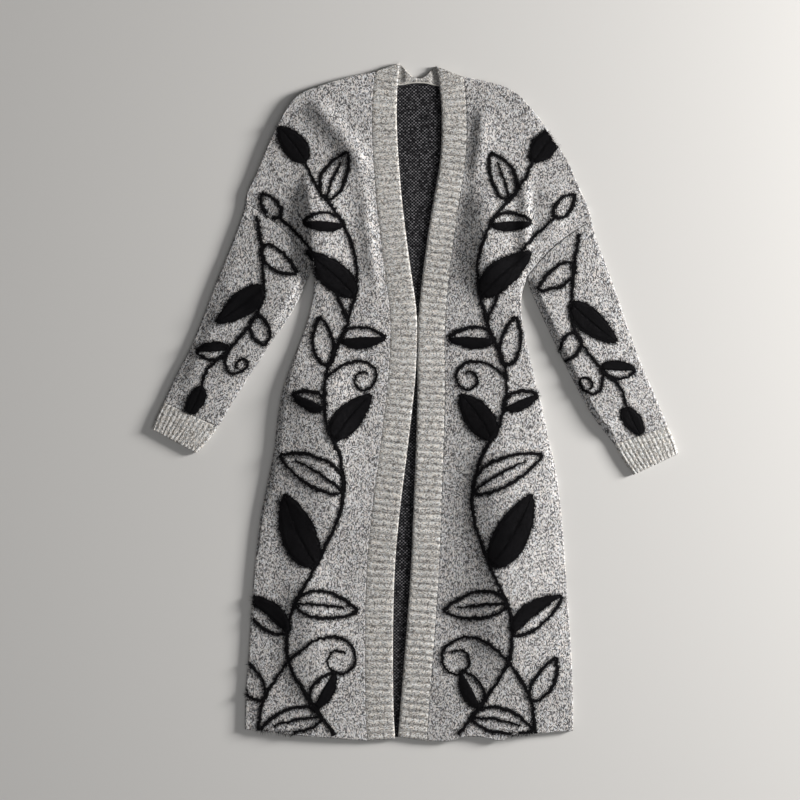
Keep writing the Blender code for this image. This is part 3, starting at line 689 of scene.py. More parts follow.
def build_tube(name, rows, spaces, columns, wall, materials, folds=(), ribs=0, seed=0.0):
    """Sleeve or cuff: a flat tube, open at both ends, whose two layers lie on each other. A sleeve
    has folds, and follows the armhole; a cuff has ribs."""
    sections, lengths = smooth_rows(rows, spaces)
    shares = even(columns)
    back_shares = np.linspace(1.0, 0.0, len(shares) // 3)
    over, under, closing = (np.ones(len(edge)) for edge in (OVER_EDGE, UNDER_EDGE, CLOSING_EDGE))
    spread = np.concatenate([0 * over, shares, under, np.ones(len(back_shares)), closing])
    top_width = np.linalg.norm(np.subtract(*cross_ends(rows[0])))
    rib = np.ones(len(spread))
    rib_rise = 0.0
    if ribs:
        uneven = np.array([0.16 * noise.noise(Vector((share * 9, 0.0, seed))) for share in shares])
        crest = rib_height(shares * ribs + uneven + 0.5)
        rib_rise = CUFF_RISE * crest
        lower = rib_height(back_shares * ribs + 0.5)
        # Rib heights that set the rib knit's painted shade in its valleys. On the upper face the valleys
        # keep 0.3 of it, so the painted shade there is lighter.
        rib = np.concatenate([over, 0.3 + 0.7 * crest, under, lower, closing])
    down = unit(np.subtract(rows[-1][:2], rows[0][:2]))
    outside, inside, knit = [], [], []
    for number, (cross, length) in enumerate(zip(sections, lengths)):
        drop = TUBE_DROP if number in (0, len(sections) - 1) else 0.0
        ring, around = tube_ring(cross, shares, back_shares, drop, rib_rise)
        core, _ = tube_ring(cross, shares, back_shares, wall)
        if folds:
            drape(ring, core, cross, length, lengths[-1], spread, top_width, folds, seed)
        if number == 0:
            ring[:, :2] += down * SEAM_GAP
            core[:, :2] += down * SEAM_GAP
        outside.append(ring)
        inside.append(core)
        knit.append(np.column_stack([around, np.full(len(around), length), rib]))
    return tube_mesh(name, outside, inside, knit, materials)


def volume(points, quads):
    """Return the signed volume inside closed quads, positive if they face out."""
    a, b, c, d = (points[quads[:, k]] for k in range(4))
    return (np.einsum("ij,ij->i", a, np.cross(b, c)) + np.einsum("ij,ij->i", a, np.cross(c, d))).sum() / 6


# Materials

class Nodes:
    """A material's nodes, made and joined by short calls."""

    def __init__(self, name):
        self.material = bpy.data.materials.new(name)
        self.material.use_nodes = True
        self.tree = self.material.node_tree
        self.shader = self.tree.nodes["Principled BSDF"]

    def add(self, kind, inputs=(), **settings):
        node = self.tree.nodes.new(kind)
        for key, value in settings.items():
            setattr(node, key, value)
        for key, value in dict(inputs).items():
            self.join(value, node.inputs[key])
        return node

    def join(self, value, socket):
        if isinstance(value, bpy.types.NodeSocket):
            self.tree.links.new(value, socket)
        else:
            socket.default_value = value

    def math(self, operation, *values, clamp=False):
        node = self.add("ShaderNodeMath", operation=operation, use_clamp=clamp)
        for value, socket in zip(values, node.inputs):
            self.join(value, socket)
        return node.outputs[0]

    def remap(self, value, low, high, to_low=0.0, to_high=1.0, interpolation="SMOOTHSTEP"):
        node = self.add("ShaderNodeMapRange", interpolation_type=interpolation)
        for key, item in (("Value", value), ("From Min", low), ("From Max", high),
                          ("To Min", to_low), ("To Max", to_high)):
            self.join(item, node.inputs[key])
        return node.outputs["Result"]

    def noise(self, vector, scale, detail=2.0, roughness=0.5):
        node = self.add("ShaderNodeTexNoise", {"Vector": vector, "Scale": scale, "Detail": detail,
                                               "Roughness": roughness})
        return node.outputs["Fac"]

    def random(self, x, y, z=0.0):
        place = self.add("ShaderNodeCombineXYZ", {"X": x, "Y": y, "Z": z}).outputs[0]
        return self.add("ShaderNodeTexWhiteNoise", {"Vector": place}).outputs["Value"]

    def mix(self, share, first, second):
        node = self.add("ShaderNodeMix", data_type="RGBA")
        self.join(share, node.inputs["Factor"])
        self.join(first, node.inputs["A"])
        self.join(second, node.inputs["B"])
        return node.outputs["Result"]

    def bump(self, height, distance, strength=1.0):
        return self.add("ShaderNodeBump", {"Height": height, "Distance": distance,
                                           "Strength": strength}).outputs["Normal"]

    def finish(self, inputs):
        """Join values to the shader's inputs, and return the material."""
        for key, value in inputs.items():
            self.join(value, self.shader.inputs[key])
        return self.material


def knit_place(nodes):
    """Return the two coordinates of the fabric, its rib height, and the plain place in the object."""
    knit = nodes.add("ShaderNodeAttribute", attribute_name="knit")
    parts = nodes.add("ShaderNodeSeparateXYZ", {"Vector": knit.outputs["Vector"]})
    place = nodes.add("ShaderNodeTexCoord").outputs["Object"]
    return parts.outputs["X"], parts.outputs["Y"], parts.outputs["Z"], place


def stitches(nodes, u, v, wale, course, slant=1.1):
    """Return a knit face's column, row and height. Each column is one wale of V-shaped loops."""
    column = nodes.math("DIVIDE", u, wale)
    lean = nodes.math("ABSOLUTE", nodes.math("SUBTRACT", nodes.math("FRACT", column), 0.5))
    row = nodes.math("SUBTRACT", nodes.math("DIVIDE", v, course), nodes.math("MULTIPLY", lean, slant))
    leg = nodes.math("ABSOLUTE", nodes.math("SUBTRACT", lean, 0.25))
    across = nodes.math("SUBTRACT", 1.0, nodes.math("MULTIPLY", nodes.math("MULTIPLY", leg, leg), 14.0))
    along = nodes.math("ABSOLUTE", nodes.math("SUBTRACT", nodes.math("FRACT", row), 0.5))
    along = nodes.math("SUBTRACT", 1.0, nodes.math("MULTIPLY", nodes.math("MULTIPLY", along, along), 3.0))
    height = nodes.math("MULTIPLY", across, along, clamp=True)
    return nodes.math("FLOOR", column), nodes.math("FLOOR", row), height


Looks = namedtuple("Looks", "marl rib inside yarn thread")
# The flecked knits: size of a stitch, the three colours that a leg of a loop can have, the chances
# that part them, and the nap's sheen
Marl = namedtuple("Marl", "wale course light middle dark dark_below light_above nap")
BODY_MARL = Marl(2.0 * MM, 1.7 * MM, (0.68, 0.67, 0.66, 1), (0.38, 0.37, 0.37, 1),
                 (0.080, 0.078, 0.081, 1), 0.42, 0.56, 0.12)
RIB_MARL = Marl(2.0 * MM, 1.7 * MM, (0.74, 0.725, 0.695, 1), (0.50, 0.485, 0.46, 1),
                (0.20, 0.19, 0.18, 1), 0.36, 0.54, 0.10)
KNIT_DRIFT = 7 * MM  # how far the lines of stitches stray


def marl_knit(name, marl, ribbed):
    """Knit of flecked yarn: each leg of each loop takes light, middling or dark yarn by chance. The low gaps
    between the loops are darkened as painted shade, and in rib knit so are the valleys between the ribs."""
    nodes = Nodes(name)
    u, v, rib, place = knit_place(nodes)
    waves = nodes.add("ShaderNodeTexNoise", {"Vector": place, "Scale": 70.0, "Detail": 3.0})
    waves = nodes.add("ShaderNodeSeparateColor", {"Color": waves.outputs["Color"]})
    u, v = (nodes.math("MULTIPLY_ADD", nodes.math("SUBTRACT", waves.outputs[channel], 0.5), KNIT_DRIFT, line)
            for line, channel in ((u, "Red"), (v, "Green")))
    column, row, height = stitches(nodes, u, v, marl.wale, marl.course)
    leg = nodes.math("FLOOR", nodes.math("DIVIDE", u, marl.wale / 2))
    chance = nodes.math("ADD", nodes.math("MULTIPLY", nodes.random(leg, row, 5.0), 0.62),
                        nodes.math("MULTIPLY", nodes.random(column, row, 1.0), 0.38))
    fine = nodes.math("SUBTRACT", nodes.noise(place, 760.0, 2.0, 0.6), 0.5)
    chance = nodes.math("ADD", chance, nodes.math("MULTIPLY", fine, 0.2))
    dark = nodes.remap(chance, marl.dark_below - 0.04, marl.dark_below + 0.04, 1.0, 0.0)
    middle = nodes.remap(chance, marl.light_above - 0.05, marl.light_above + 0.05, 1.0, 0.0)
    colour = nodes.mix(middle, marl.light, marl.middle)
    colour = nodes.mix(dark, colour, marl.dark)
    fibre = nodes.noise(place, 1500.0, 3.0, 0.7)
    fleck = nodes.remap(fibre, 0.36, 0.64, 0.70, 1.20)
    patchy = nodes.remap(nodes.noise(place, 11.0, 3.0, 0.55), 0.3, 0.7, 0.92, 1.06)
    # Painted shade: the colour is darkened where the stitch height is low, in the gaps between the loops.
    groove = nodes.remap(height, 0.0, 0.55, 0.72, 1.0)
    tint = nodes.math("MULTIPLY", nodes.math("MULTIPLY", fleck, patchy), groove)
    rough = nodes.math("ADD", nodes.math("MULTIPLY", height, 0.6), nodes.math("MULTIPLY", fibre, 0.5))
    # Painted shade: in rib knit the valleys between the ribs are darkened, following the rib height.
    if ribbed:
        tint = nodes.math("MULTIPLY", tint, nodes.remap(rib, 0.0, 0.6, 0.68, 1.0))
    warmth = nodes.random(leg, row, 9.0)
    red = nodes.math("MULTIPLY", tint, nodes.remap(warmth, 0.0, 1.0, 0.94, 1.07, "LINEAR"))
    blue = nodes.math("MULTIPLY", tint, nodes.remap(warmth, 0.0, 1.0, 1.07, 0.93, "LINEAR"))
    grey = nodes.add("ShaderNodeCombineColor", {"Red": red, "Green": tint, "Blue": blue}).outputs[0]
    product = nodes.add("ShaderNodeMix", data_type="RGBA", blend_type="MULTIPLY")
    product.inputs["Factor"].default_value = 1.0
    nodes.join(colour, product.inputs["A"])
    nodes.join(grey, product.inputs["B"])
    return nodes.finish({"Base Color": product.outputs["Result"], "Normal": nodes.bump(rough, 0.9 * MM, 0.8),
                         "Roughness": 0.92, "Sheen Weight": marl.nap, "Sheen Roughness": 0.6,
                         "Specular IOR Level": 0.2})


def inside_knit(name):
    """Inner face of the body knit: black, with light specks on every other loop."""
    nodes = Nodes(name)
    u, v, _, place = knit_place(nodes)
    column, row, height = stitches(nodes, u, v, 2.6 * MM, 2.4 * MM, 0.4)
    odd = nodes.math("PINGPONG", nodes.math("ADD", column, row), 1.0)
    chance = nodes.random(column, row, 2.0)
    speck = nodes.math("MULTIPLY", odd, nodes.remap(chance, 0.0, 1.0, 0.05, 1.0, "LINEAR"))
    speck = nodes.math("MULTIPLY", speck, nodes.remap(height, 0.35, 0.80, 0.0, 1.0))
    colour = nodes.mix(speck, (0.0022, 0.002, 0.003, 1), (0.25, 0.245, 0.26, 1))
    fibre = nodes.noise(place, 1400.0, 3.0, 0.7)
    rough = nodes.math("ADD", height, nodes.math("MULTIPLY", fibre, 0.5))
    return nodes.finish({"Base Color": colour, "Normal": nodes.bump(rough, 0.8 * MM, 0.8),
                         "Roughness": 0.95, "Specular IOR Level": 0.15})


def fuzzy_yarn(name):
    """Black eyelash yarn."""
    nodes = Nodes(name)
    place = nodes.add("ShaderNodeTexCoord").outputs["Object"]
    tone = nodes.noise(place, 500.0, 3.0, 0.6)
    colour = nodes.mix(tone, (0.0010, 0.0010, 0.0014, 1), (0.0055, 0.0050, 0.0062, 1))
    normal = nodes.bump(nodes.noise(place, 900.0, 3.0, 0.7), 0.8 * MM)
    return nodes.finish({"Base Color": colour, "Normal": normal, "Roughness": 0.85,
                         "Specular IOR Level": 0.10})


def plain_thread(name):
    """Off-white linking thread."""
    nodes = Nodes(name)
    place = nodes.add("ShaderNodeTexCoord").outputs["Object"]
    twist = nodes.noise(place, 1800.0, 2.0, 0.5)
    colour = nodes.mix(twist, (0.52, 0.50, 0.46, 1), (0.74, 0.72, 0.68, 1))
    return nodes.finish({"Base Color": colour, "Normal": nodes.bump(twist, 0.3 * MM), "Roughness": 0.8})


def make_looks():
    return Looks(marl_knit("marl_knit", BODY_MARL, False), marl_knit("rib_knit", RIB_MARL, True),
                 inside_knit("inside_knit"), fuzzy_yarn("fuzzy_yarn"), plain_thread("seam_thread"))


def strand_mesh(name, line, radius, look, sides=6):
    """Make a closed round strand along a line of points."""
    ahead = unit(np.gradient(line, axis=0))
    side = unit(np.cross(ahead, [0, 0, 1.0]))
    up = np.cross(side, ahead)
    rings = [line + radius * (side * cos(tau * k / sides) + up * sin(tau * k / sides)) for k in range(sides)]
    points = np.stack(rings, 1).reshape(-1, 3)
    rows = np.arange(len(points)).reshape(-1, sides)
    after = np.roll(rows, -1, axis=1)
    quads = np.stack([rows[:-1], rows[1:], after[1:], after[:-1]], -1).reshape(-1, 4)
    faces = [*quads.tolist(), rows[0].tolist(), rows[-1][::-1].tolist()]
    return add_mesh(name, points, faces, [look])


THREAD_RADIUS = 0.42 * MM
THREAD_SWAY = 0.55 * MM  # how far a strand winds to each side of the seam
THREAD_LIFT = 0.35 * MM  # how far it winds up and down
THREAD_TURNS = 34


def build_neck_threads(looks):
    """Linking thread along the back of the neck: two strands that wind round each other."""
    seam = at_shares(neck_seam(), even(600))
    middle = with_height(seam[None], WALL + THREAD_LIFT)[0]
    threads = []
    for number in range(2):
        phase = np.linspace(0, tau * THREAD_TURNS, len(seam)) + pi * number
        offset = np.column_stack([0 * phase, THREAD_SWAY * np.sin(phase), THREAD_LIFT * np.cos(phase)])
        name = f"neck_thread_{number + 1}"
        threads.append(strand_mesh(name, middle + offset, THREAD_RADIUS, looks.thread))
    return threads


# Vine worked in fuzzy yarn

Stem = namedtuple("Stem", "name half_width points")
Leaf = namedtuple("Leaf", "stem at turn length width bend fill")
Tendril = namedtuple("Tendril", "stem at turn length turns")

YARN_LINE = 2.5 * MM  # half the width of a leaf's outline
YARN_RISE = 1.3 * MM  # how far the yarn stands off the cloth
PAD_ROUGHNESS = 0.14 * MM  # how uneven the pad of a filled leaf is
PAD_SINK = 0.6 * MM  # how far that pad reaches into the cloth
SMALL_LEAF = 33  # width in mm up to which a leaf has no midrib
YARN_STEP = 2.0 * MM  # spacing of sections along a line of yarn
HAIRS_PER_MM = 3.4  # hairs along each millimetre of a line
HAIRS_PER_SQUARE_MM = 0.75  # hairs on each square millimetre of a filled leaf
HAIR_WIDTH = 0.42 * MM
TUFT_SHARE = 0.12  # share of a line's hairs that have a short, thick tuft with them
HAIR_LENGTH = (3.2 * MM, 6.8 * MM)
LINE_WOBBLE = 0.9 * MM  # how far a line of yarn strays to its sides
LEAF_BASE = 0.62  # power by which a leaf widens from its base
LEAF_TIP = 0.85  # power by which it narrows to its tip
LEAF_PEAK = 0.385  # largest product of the two
TENDRIL_WIND = 2.09  # how much faster a tendril winds at its end than on average

# Vine on each front. x counts from the band's seam towards the side and y up the garment, in mm.
FRONT_STEMS = [
    Stem("main", 2.9, [(46, -490), (80, -440), (112, -380), (108, -310), (74, -240), (46, -160), (54, -88),
                       (84, -26), (90, 46), (62, 118), (40, 196), (52, 262), (84, 314), (100, 354)]),
    Stem("hem", 2.6, [(160, -488), (148, -436), (112, -380)]),
    Stem("arm", 2.6, [(62, 118), (80, 172), (102, 220), (128, 254), (144, 272)]),
]
# Leaves: how far along the stem each one grows, the angle it turns by, its size and bend in mm, and
# which part is filled: none, the half on its left, the half on its right, or both
FRONT_LEAVES = [
    Leaf("main", 0.035, -56, 92, 38, -18, "none"),
    Leaf("main", 0.056, 58, 60, 32, 6, "left"),
    Leaf("main", 0.185, -48, 88, 40, -14, "left"),
    Leaf("main", 0.235, 64, 92, 42, 16, "none"),
    Leaf("main", 0.305, -62, 118, 50, 20, "both"),
    Leaf("main", 0.43, -46, 112, 44, -22, "none"),
    Leaf("main", 0.52, 56, 80, 40, 14, "both"),
    Leaf("main", 0.575, -48, 54, 28, -8, "right"),
    Leaf("main", 0.645, -36, 72, 32, 12, "none"),
    Leaf("main", 0.69, 54, 66, 32, 10, "left"),
    Leaf("main", 0.765, -54, 92, 42, -16, "both"),
    Leaf("main", 0.885, -56, 58, 28, -10, "right"),
    Leaf("main", 0.93, 52, 78, 36, 14, "none"),
    Leaf("main", 1.0, -8, 62, 34, -8, "both"),
    Leaf("hem", 0.42, -60, 70, 32, 12, "none"),
    Leaf("arm", 1.0, 2, 42, 26, 4, "none"),
]
FRONT_TENDRILS = [
    Tendril("main", 0.14, 60, 230, 1.25),
    Tendril("main", 0.625, 46, 170, 1.2),
]

# Vine on each sleeve. x counts from the edge over the arm across the sleeve and y down from the
# armhole, in mm, on a sleeve as wide as it is at the top.
SLEEVE_STEMS = [
    Stem("main", 2.6, [(24, 3), (58, 50), (86, 110), (76, 175), (54, 222), (60, 254)]),
]
SLEEVE_LEAVES = [
    Leaf("main", 0.14, -50, 68, 32, -8, "none"),
    Leaf("main", 0.34, 50, 88, 38, 14, "both"),
    Leaf("main", 0.50, -46, 56, 32, -6, "none"),
    Leaf("main", 0.74, 42, 58, 28, 8, "left"),
    Leaf("main", 1.0, 0, 48, 34, 6, "both"),
]
SLEEVE_TENDRILS = [
    Tendril("main", 0.76, -58, 120, -1.2),
]


def spaced(line, step):
    """Return points a step apart along a line."""
    return at_shares(line, even(max(3, int(round(distances(line)[-1] / step)))))


def turned(direction, degrees):
    """Return a plan direction turned anticlockwise."""
    angle = radians(degrees)
    return np.array([direction[0] * cos(angle) - direction[1] * sin(angle),
                     direction[0] * sin(angle) + direction[1] * cos(angle)])


def grown_from(line, at, turn):
    """Return the point at a share of a stem, and the direction of what grows from it."""
    points = at_shares(line, [at, max(0.0, at - 0.01), min(1.0, at + 0.01)])
    return points[0], turned(unit(points[2] - points[1]), turn)


def leaf_shape(leaf, base, direction):
    """Return a leaf's midrib and the grid of points between its left edge and its right edge."""
    along = np.linspace(0, 1, 25)
    across = left_of(direction)
    length, width = leaf.length * MM, leaf.width * MM
    midrib = base + np.outer(along * length, direction) + np.outer(leaf.bend * MM * along ** 2, across)
    half = width / 2 * (along ** LEAF_BASE) * (1 - along) ** LEAF_TIP / LEAF_PEAK
    sides = np.linspace(1, -1, 13)
    return midrib, midrib[:, None, :] + half[:, None, None] * sides[None, :, None] * across


def tendril_line(tendril, base, direction):
    """Return a line that winds up into a spiral."""
    line = [base]
    steps = 60
    angle = 0.0
    for number in range(steps):
        line.append(line[-1] + turned(direction, np.degrees(angle)) * tendril.length * MM / steps)
        angle += tendril.turns * tau * TENDRIL_WIND * (number / steps) / steps
    return np.array(line)


class Surface:
    """A piece of cloth that yarn is laid on, seen from above."""

    def __init__(self, piece):
        corners = [vertex.co.copy() for vertex in piece.data.vertices]
        self.tree = BVHTree.FromPolygons(corners, [tuple(face.vertices) for face in piece.data.polygons])

    def heights(self, plan):
        """Return the height of the cloth at plan points, and nan where there is none."""
        found = np.full(len(plan), np.nan)
        for number, (x, y) in enumerate(plan):
            hit = self.tree.ray_cast(Vector((x, y, 0.2)), Vector((0, 0, -1)))[0]
            if hit is not None and hit.z > FRONT_LEVEL:
                found[number] = hit.z
        return found


class YarnWork:
    """Points and faces of all the yarn on one piece of cloth."""

    def __init__(self, surface, seed):
        self.surface = surface
        self.points = []
        self.faces = []
        self.count = 0
        self.chance = np.random.default_rng(seed)

    def add(self, points, faces):
        self.points.append(points)
        self.faces.extend((np.asarray(faces) + self.count).tolist())
        self.count += len(points)

    def line(self, plan, half_width, taper=0.0):
        """Lay a line of yarn along plan points, thinner towards its end by the given share."""
        plan = spaced(plan, YARN_STEP)
        ahead = unit(np.gradient(plan, axis=0))
        side = left_of(ahead)
        share = np.linspace(0, 1, len(plan))
        stray = np.convolve(self.chance.normal(0, LINE_WOBBLE, len(plan)), [0.3, 0.4, 0.3], "same")
        plan = plan + side * stray[:, None]
        slow = 1 + 0.18 * np.sin(0.16 * np.arange(len(plan)) + self.chance.uniform(0, tau))
        widths = half_width * (1 - taper * share ** 2) * slow * self.chance.uniform(0.82, 1.18, len(plan))
        sections = []
        for reach, rise in ((1.0, -0.5), (0.62, 0.72), (0.0, 1.0), (-0.62, 0.72), (-1.0, -0.5)):
            spot = plan + side * (widths * reach)[:, None]
            height = self.surface.heights(spot) + YARN_RISE * rise * np.minimum(1.0, widths / (2.0 * MM))
            sections.append(np.column_stack([spot, height]))
        grid = np.stack(sections, 1)
        whole = ~np.isnan(grid[..., 2]).any(axis=1)
        self.tube(grid, whole)
        self.line_hairs(plan, ahead, side, widths, share, taper)

    def tube(self, grid, whole):
        """Join each unbroken run of sections into a closed strand."""
        ends = np.flatnonzero(np.diff(np.concatenate([[0], whole, [0]])))
        for first, last in zip(ends[::2], ends[1::2]):
            if last - first > 1:
                run = grid[first:last].reshape(-1, 3)
                rows = np.arange(len(run)).reshape(-1, grid.shape[1])
                self.add(run, ring_quads(rows))
                for cap in (rows[0][::-1], rows[-1]):
                    self.faces.append((cap + self.count - len(run)).tolist())

    def line_hairs(self, plan, ahead, side, widths, share, taper):
        """Brush hairs out of a line on both sides."""
        count = int(len(plan) * YARN_STEP / MM * HAIRS_PER_MM)
        at = self.chance.uniform(0, len(plan) - 1.001, count)
        low = at.astype(int)
        spot = plan[low] + (plan[low + 1] - plan[low]) * (at - low)[:, None]
        lean = np.radians(self.chance.normal(0, 34, count))
        flip = self.chance.choice([-1.0, 1.0], count)[:, None]
        out = side[low] * flip * np.cos(lean)[:, None] + ahead[low] * np.sin(lean)[:, None]
        spot = spot + side[low] * flip * (widths[low] * self.chance.uniform(0.1, 0.8, count))[:, None]
        self.hairs(spot, out, 1 - 0.4 * taper * share[low])
        tufts = self.chance.random(count) < TUFT_SHARE
        self.hairs(spot[tufts], out[tufts], np.full(tufts.sum(), 0.62), HAIR_WIDTH * 2.8)

    def fill(self, grid):
        """Cover a grid of plan points with a low pad of yarn."""
        height = self.surface.heights(grid.reshape(-1, 2)).reshape(grid.shape[:2])
        if np.isnan(height).mean() > 0.5:
            return
        across = np.linspace(0, 1, grid.shape[1])
        dome = (0.7 + 0.5 * smooth_step(np.minimum(across, 1 - across) * 5)) * YARN_RISE
        dome = dome + self.chance.normal(0, PAD_ROUGHNESS, height.shape)
        upper, lower = with_height(grid, height + dome), with_height(grid, height - PAD_SINK)
        points = np.vstack([upper.reshape(-1, 3), lower.reshape(-1, 3)])
        numbers = np.arange(height.size).reshape(height.shape)
        quads = grid_quads(numbers)
        ring = rim_quads(border(numbers), border(numbers) + height.size)
        faces = np.vstack([quads, quads[:, ::-1] + height.size, ring])
        known = ~np.isnan(points[faces].sum(axis=(1, 2)))
        points[np.isnan(points)] = 0.0
        self.add(points, faces[known])
        self.fill_hairs(grid)

    def fill_hairs(self, grid):
        """Cover a filled part with hairs that lie all ways."""
        rows, columns = grid.shape[:2]
        a, b, c = grid[:-1, :-1], grid[:-1, 1:], grid[1:, :-1]
        cross = (b - a)[..., 0] * (c - a)[..., 1] - (b - a)[..., 1] * (c - a)[..., 0]
        sizes = np.abs(cross).ravel()
        count = int(sizes.sum() / MM ** 2 * HAIRS_PER_SQUARE_MM)
        cell = self.chance.choice(len(sizes), count, p=sizes / sizes.sum())
        row, column = np.divmod(cell, columns - 1)
        s, t = self.chance.uniform(0, 1, (2, count, 1))
        spot = (grid[row, column] * (1 - s) * (1 - t) + grid[row, column + 1] * s * (1 - t)
                + grid[row + 1, column] * (1 - s) * t + grid[row + 1, column + 1] * s * t)
        angle = self.chance.uniform(0, tau, count)
        self.hairs(spot, np.column_stack([np.cos(angle), np.sin(angle)]), np.ones(count))

    def hairs(self, spot, out, sizes, width=HAIR_WIDTH):
        """Add flat tapered hairs from plan points in plan directions."""
        height = self.surface.heights(spot)
        known = ~np.isnan(height)
        spot, out, sizes, height = spot[known], out[known], sizes[known], height[known]
        count = len(spot)
        if not count:
            return
        length = self.chance.uniform(*HAIR_LENGTH, count) * sizes
        across = left_of(out) * width / 2
        curl = across * self.chance.normal(0, 2.2, count)[:, None]
        root = height + YARN_RISE * 0.7
        rise = self.chance.uniform(0.2, 1.5, count) * MM
        middle = spot + out * (length * 0.5)[:, None]
        tip = spot + out * length[:, None] + curl
        drop = self.chance.uniform(0.5, 1.1, count) * MM
        parts = [np.column_stack([spot - across, root]), np.column_stack([spot + across, root]),
                 np.column_stack([middle + across * 0.8, root + rise * 0.8]),
                 np.column_stack([middle - across * 0.8, root + rise * 0.8]),
                 np.column_stack([tip, np.maximum(root + rise - drop, 0.3 * MM)])]
        points = np.stack(parts, 1).reshape(-1, 3)
        first = np.arange(count)[:, None] * 5
        self.add(points, first + np.array([0, 1, 2, 3]))
        self.faces.extend((first + np.array([3, 2, 4]) + self.count - len(points)).tolist())


def work_vine(name, piece, place, stems, leaves, tendrils, looks, seed):
    """Lay a vine on a piece of cloth. place turns the tables' points into plan points."""
    work = YarnWork(Surface(piece), seed)
    lines = {stem.name: smooth_line(stem.points) for stem in stems}
    for stem in stems:
        work.line(place(lines[stem.name]), stem.half_width * MM, taper=0.25)
    for leaf in leaves:
        base, direction = grown_from(lines[leaf.stem], leaf.at, leaf.turn)
        midrib, grid = leaf_shape(leaf, base, direction)
        shape = place(grid.reshape(-1, 2)).reshape(grid.shape)
        work.line(shape[:, 0], YARN_LINE)
        work.line(shape[:, -1], YARN_LINE)
        if leaf.width > SMALL_LEAF:
            work.line(place(midrib[:20]), YARN_LINE * 0.85, taper=0.5)
        middle = grid.shape[1] // 2
        if leaf.fill in ("left", "both"):
            work.fill(shape[1:-1, :middle + 1])
        if leaf.fill in ("right", "both"):
            work.fill(shape[1:-1, middle:])
    for tendril in tendrils:
        base, direction = grown_from(lines[tendril.stem], tendril.at, tendril.turn)
        work.line(place(tendril_line(tendril, base, direction)), YARN_LINE * 0.9, taper=0.4)
    yarn = add_mesh(name, np.vstack(work.points), work.faces, [looks.yarn])
    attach(yarn, "root")
    return yarn


def place_on_front(front):
    """Return what turns points counted from a band's seam into plan points."""
    seam = seam_line(front.band)

    def place(points):
        start = np.interp(points[:, 1], seam[:, 1], seam[:, 0])
        return np.column_stack([start + front.toward_side * points[:, 0], points[:, 1]])

    return place


def place_on_sleeve(rows):
    """Return what turns points counted across and down a sleeve into plan points."""
    sections, lengths = smooth_rows(rows, SLEEVE_ROWS)
    values = np.array(sections) * MM
    top_width = np.linalg.norm(values[0, 2:4] - values[0, :2])

    def place(points):
        edges = np.column_stack([np.interp(points[:, 1], lengths, values[:, k]) for k in range(4)])
        share = points[:, :1] / top_width
        return edges[:, :2] * (1 - share) + edges[:, 2:] * share

    return place


# Floor, light and camera

VIEW_PIXELS = 800
MM_PER_PIXEL = 1.473
MIDDLE_PIXEL = Point(415.0, 402.0)  # where the garment's origin lies in the frame
CAMERA_HEIGHT = 3.2
CLOTH_LEVEL = 6 * MM  # height at which the photo's scale holds
FLOOR_LEVEL = -0.4 * MM  # just under the cloth
FLOOR_COLOUR = (0.60, 0.59, 0.575, 1)
WORLD_STRENGTH = 0.12

# Soft lights: place, the point each one faces, width and height in metres, watts and colour
Light = namedtuple("Light", "name place aim size power colour")
LIGHTS = [
    Light("key", (3.2, 0.85, 0.98), (-0.1, 0, 0), (0.8, 0.8), 290, (1.0, 0.985, 0.965)),
    Light("top", (0.3, -0.9, 1.8), (0, -0.2, 0), (1.8, 1.4), 7, (1, 1, 1)),
    Light("fill", (-1.8, -0.6, 2.2), (0, 0, 0), (1.8, 1.8), 3, (0.97, 0.985, 1.0)),
]


def add_floor():
    bpy.ops.mesh.primitive_plane_add(size=8.0, location=(0, 0, FLOOR_LEVEL))
    floor = bpy.context.object
    floor.name = "floor"
    floor.data.materials.append(Nodes("floor").finish({"Base Color": FLOOR_COLOUR, "Roughness": 0.9}))


def add_light(row):
    data = bpy.data.lights.new(row.name, "AREA")
    data.shape = "RECTANGLE"
    data.size, data.size_y = row.size
    data.energy = row.power
    data.color = row.colour
    light = bpy.data.objects.new(row.name, data)
    light.location = row.place
    light.rotation_euler = (Vector(row.aim) - Vector(row.place)).to_track_quat("-Z", "Y").to_euler()
    bpy.context.collection.objects.link(light)


def add_world():
    world = bpy.data.worlds.new("studio")
    world.use_nodes = True
    background = world.node_tree.nodes["Background"]
    background.inputs["Color"].default_value = (1, 1, 1, 1)
    background.inputs["Strength"].default_value = WORLD_STRENGTH
    bpy.context.scene.world = world


def add_camera():
    """Camera straight above the garment, at the photo's scale."""
    data = bpy.data.cameras.new("camera")
    data.sensor_width = 36.0
    data.lens = data.sensor_width * (CAMERA_HEIGHT - CLOTH_LEVEL) / (VIEW_PIXELS * MM_PER_PIXEL * MM)
    data.clip_end = 20.0
    camera = bpy.data.objects.new("camera", data)
    middle = VIEW_PIXELS / 2
    camera.location = ((middle - MIDDLE_PIXEL.x) * MM_PER_PIXEL * MM,
                       (MIDDLE_PIXEL.y - middle) * MM_PER_PIXEL * MM, CAMERA_HEIGHT)
    bpy.context.collection.objects.link(camera)
    bpy.context.scene.camera = camera


def place_piece(piece, node):
    """Make a piece ride on the part and stand for its solid."""
    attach(piece, "root")
    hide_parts(node)


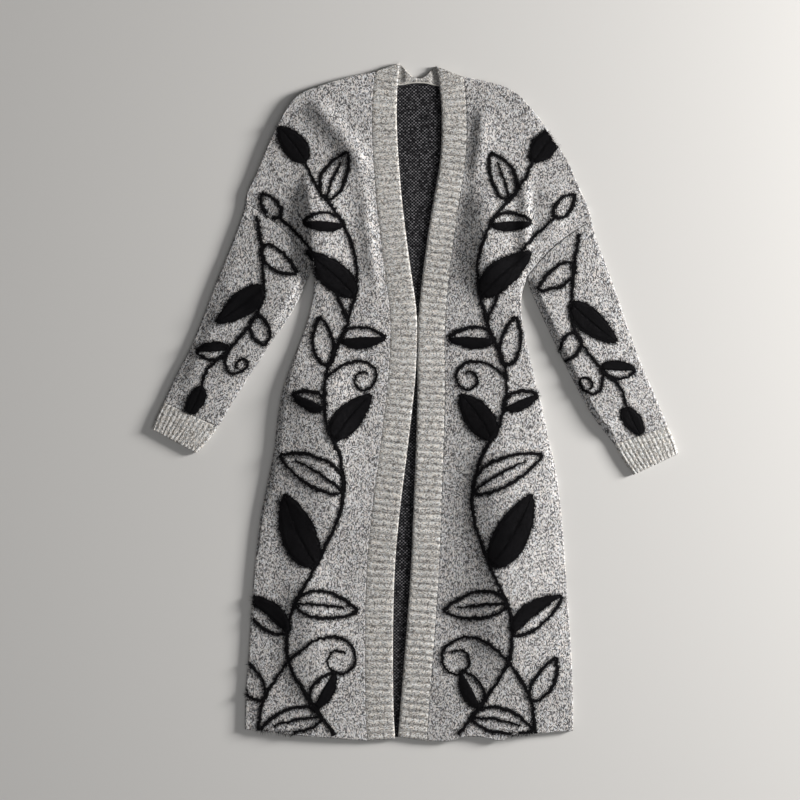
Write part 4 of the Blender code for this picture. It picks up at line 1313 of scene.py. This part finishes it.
# The cut of each piece: its width and length laid out flat, all round on a tube, and its flat area
Cut = namedtuple("Cut", "width length area")
CUTS = {
    "back": Cut(0.51, 0.98, 0.385),
    "front_right": Cut(0.21, 0.99, 0.155),
    "front_left": Cut(0.24, 0.98, 0.160),
    "sleeve": Cut(0.27, 0.33, 0.0745),
    "cuff": Cut(0.16, 0.046, 0.0070),
    "band": Cut(0.041, 1.00, 0.0405),
    "neck": Cut(0.13, 0.04, 0.0026),
}


def lay_out(cut):
    """Look up a piece's cut, which nothing else uses."""
    cut = CUTS[cut]


def build():
    looks = make_looks()
    add_floor()
    for row in LIGHTS:
        add_light(row)
    add_world()
    add_camera()
    bpy.context.scene.view_settings.view_transform = "Standard"
    back = build_back(looks)
    place_piece(back, "back_panel")
    lay_out("back")
    for row in FRONTS:
        front = build_front(row, looks)
        place_piece(front, row.node)
        yarn = work_vine("yarn_" + row.node, front, place_on_front(row), FRONT_STEMS, FRONT_LEAVES,
                         FRONT_TENDRILS, looks, row.seed + 10)
        lay_out(row.node)
    for side, rows, folds, seed in (("right", RIGHT_SLEEVE, RIGHT_SLEEVE_FOLDS, 3),
                                    ("left", LEFT_SLEEVE, LEFT_SLEEVE_FOLDS, 4)):
        sleeve = build_tube(f"sleeve_{side}_cloth", rows, SLEEVE_ROWS, SLEEVE_COLUMNS, WALL,
                            [looks.marl, looks.inside], folds=folds, seed=float(seed))
        place_piece(sleeve, "sleeve_" + side)
        yarn = work_vine("yarn_sleeve_" + side, sleeve, place_on_sleeve(rows), SLEEVE_STEMS,
                         SLEEVE_LEAVES, SLEEVE_TENDRILS, looks, seed + 10)
        lay_out("sleeve")
    for side, rows in (("right", RIGHT_CUFF), ("left", LEFT_CUFF)):
        cuff = build_tube(f"cuff_{side}_cloth", rows, CUFF_ROWS, CUFF_RIBS * RIB_STEPS, RIB_WALL,
                          [looks.rib, looks.inside], ribs=CUFF_RIBS)
        place_piece(cuff, "cuff_" + side)
        lay_out("cuff")
    for side, strips in (("right", RIGHT_BAND), ("left", LEFT_BAND)):
        band = build_band(f"band_{side}_cloth", strips, looks)
        place_piece(band, "band_" + side)
        lay_out("band")
    neck = build_neck_band(looks)
    place_piece(neck, "neck_band")
    threads = build_neck_threads(looks)
    for thread in threads:
        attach(thread, "root")
    lay_out("neck")


build()
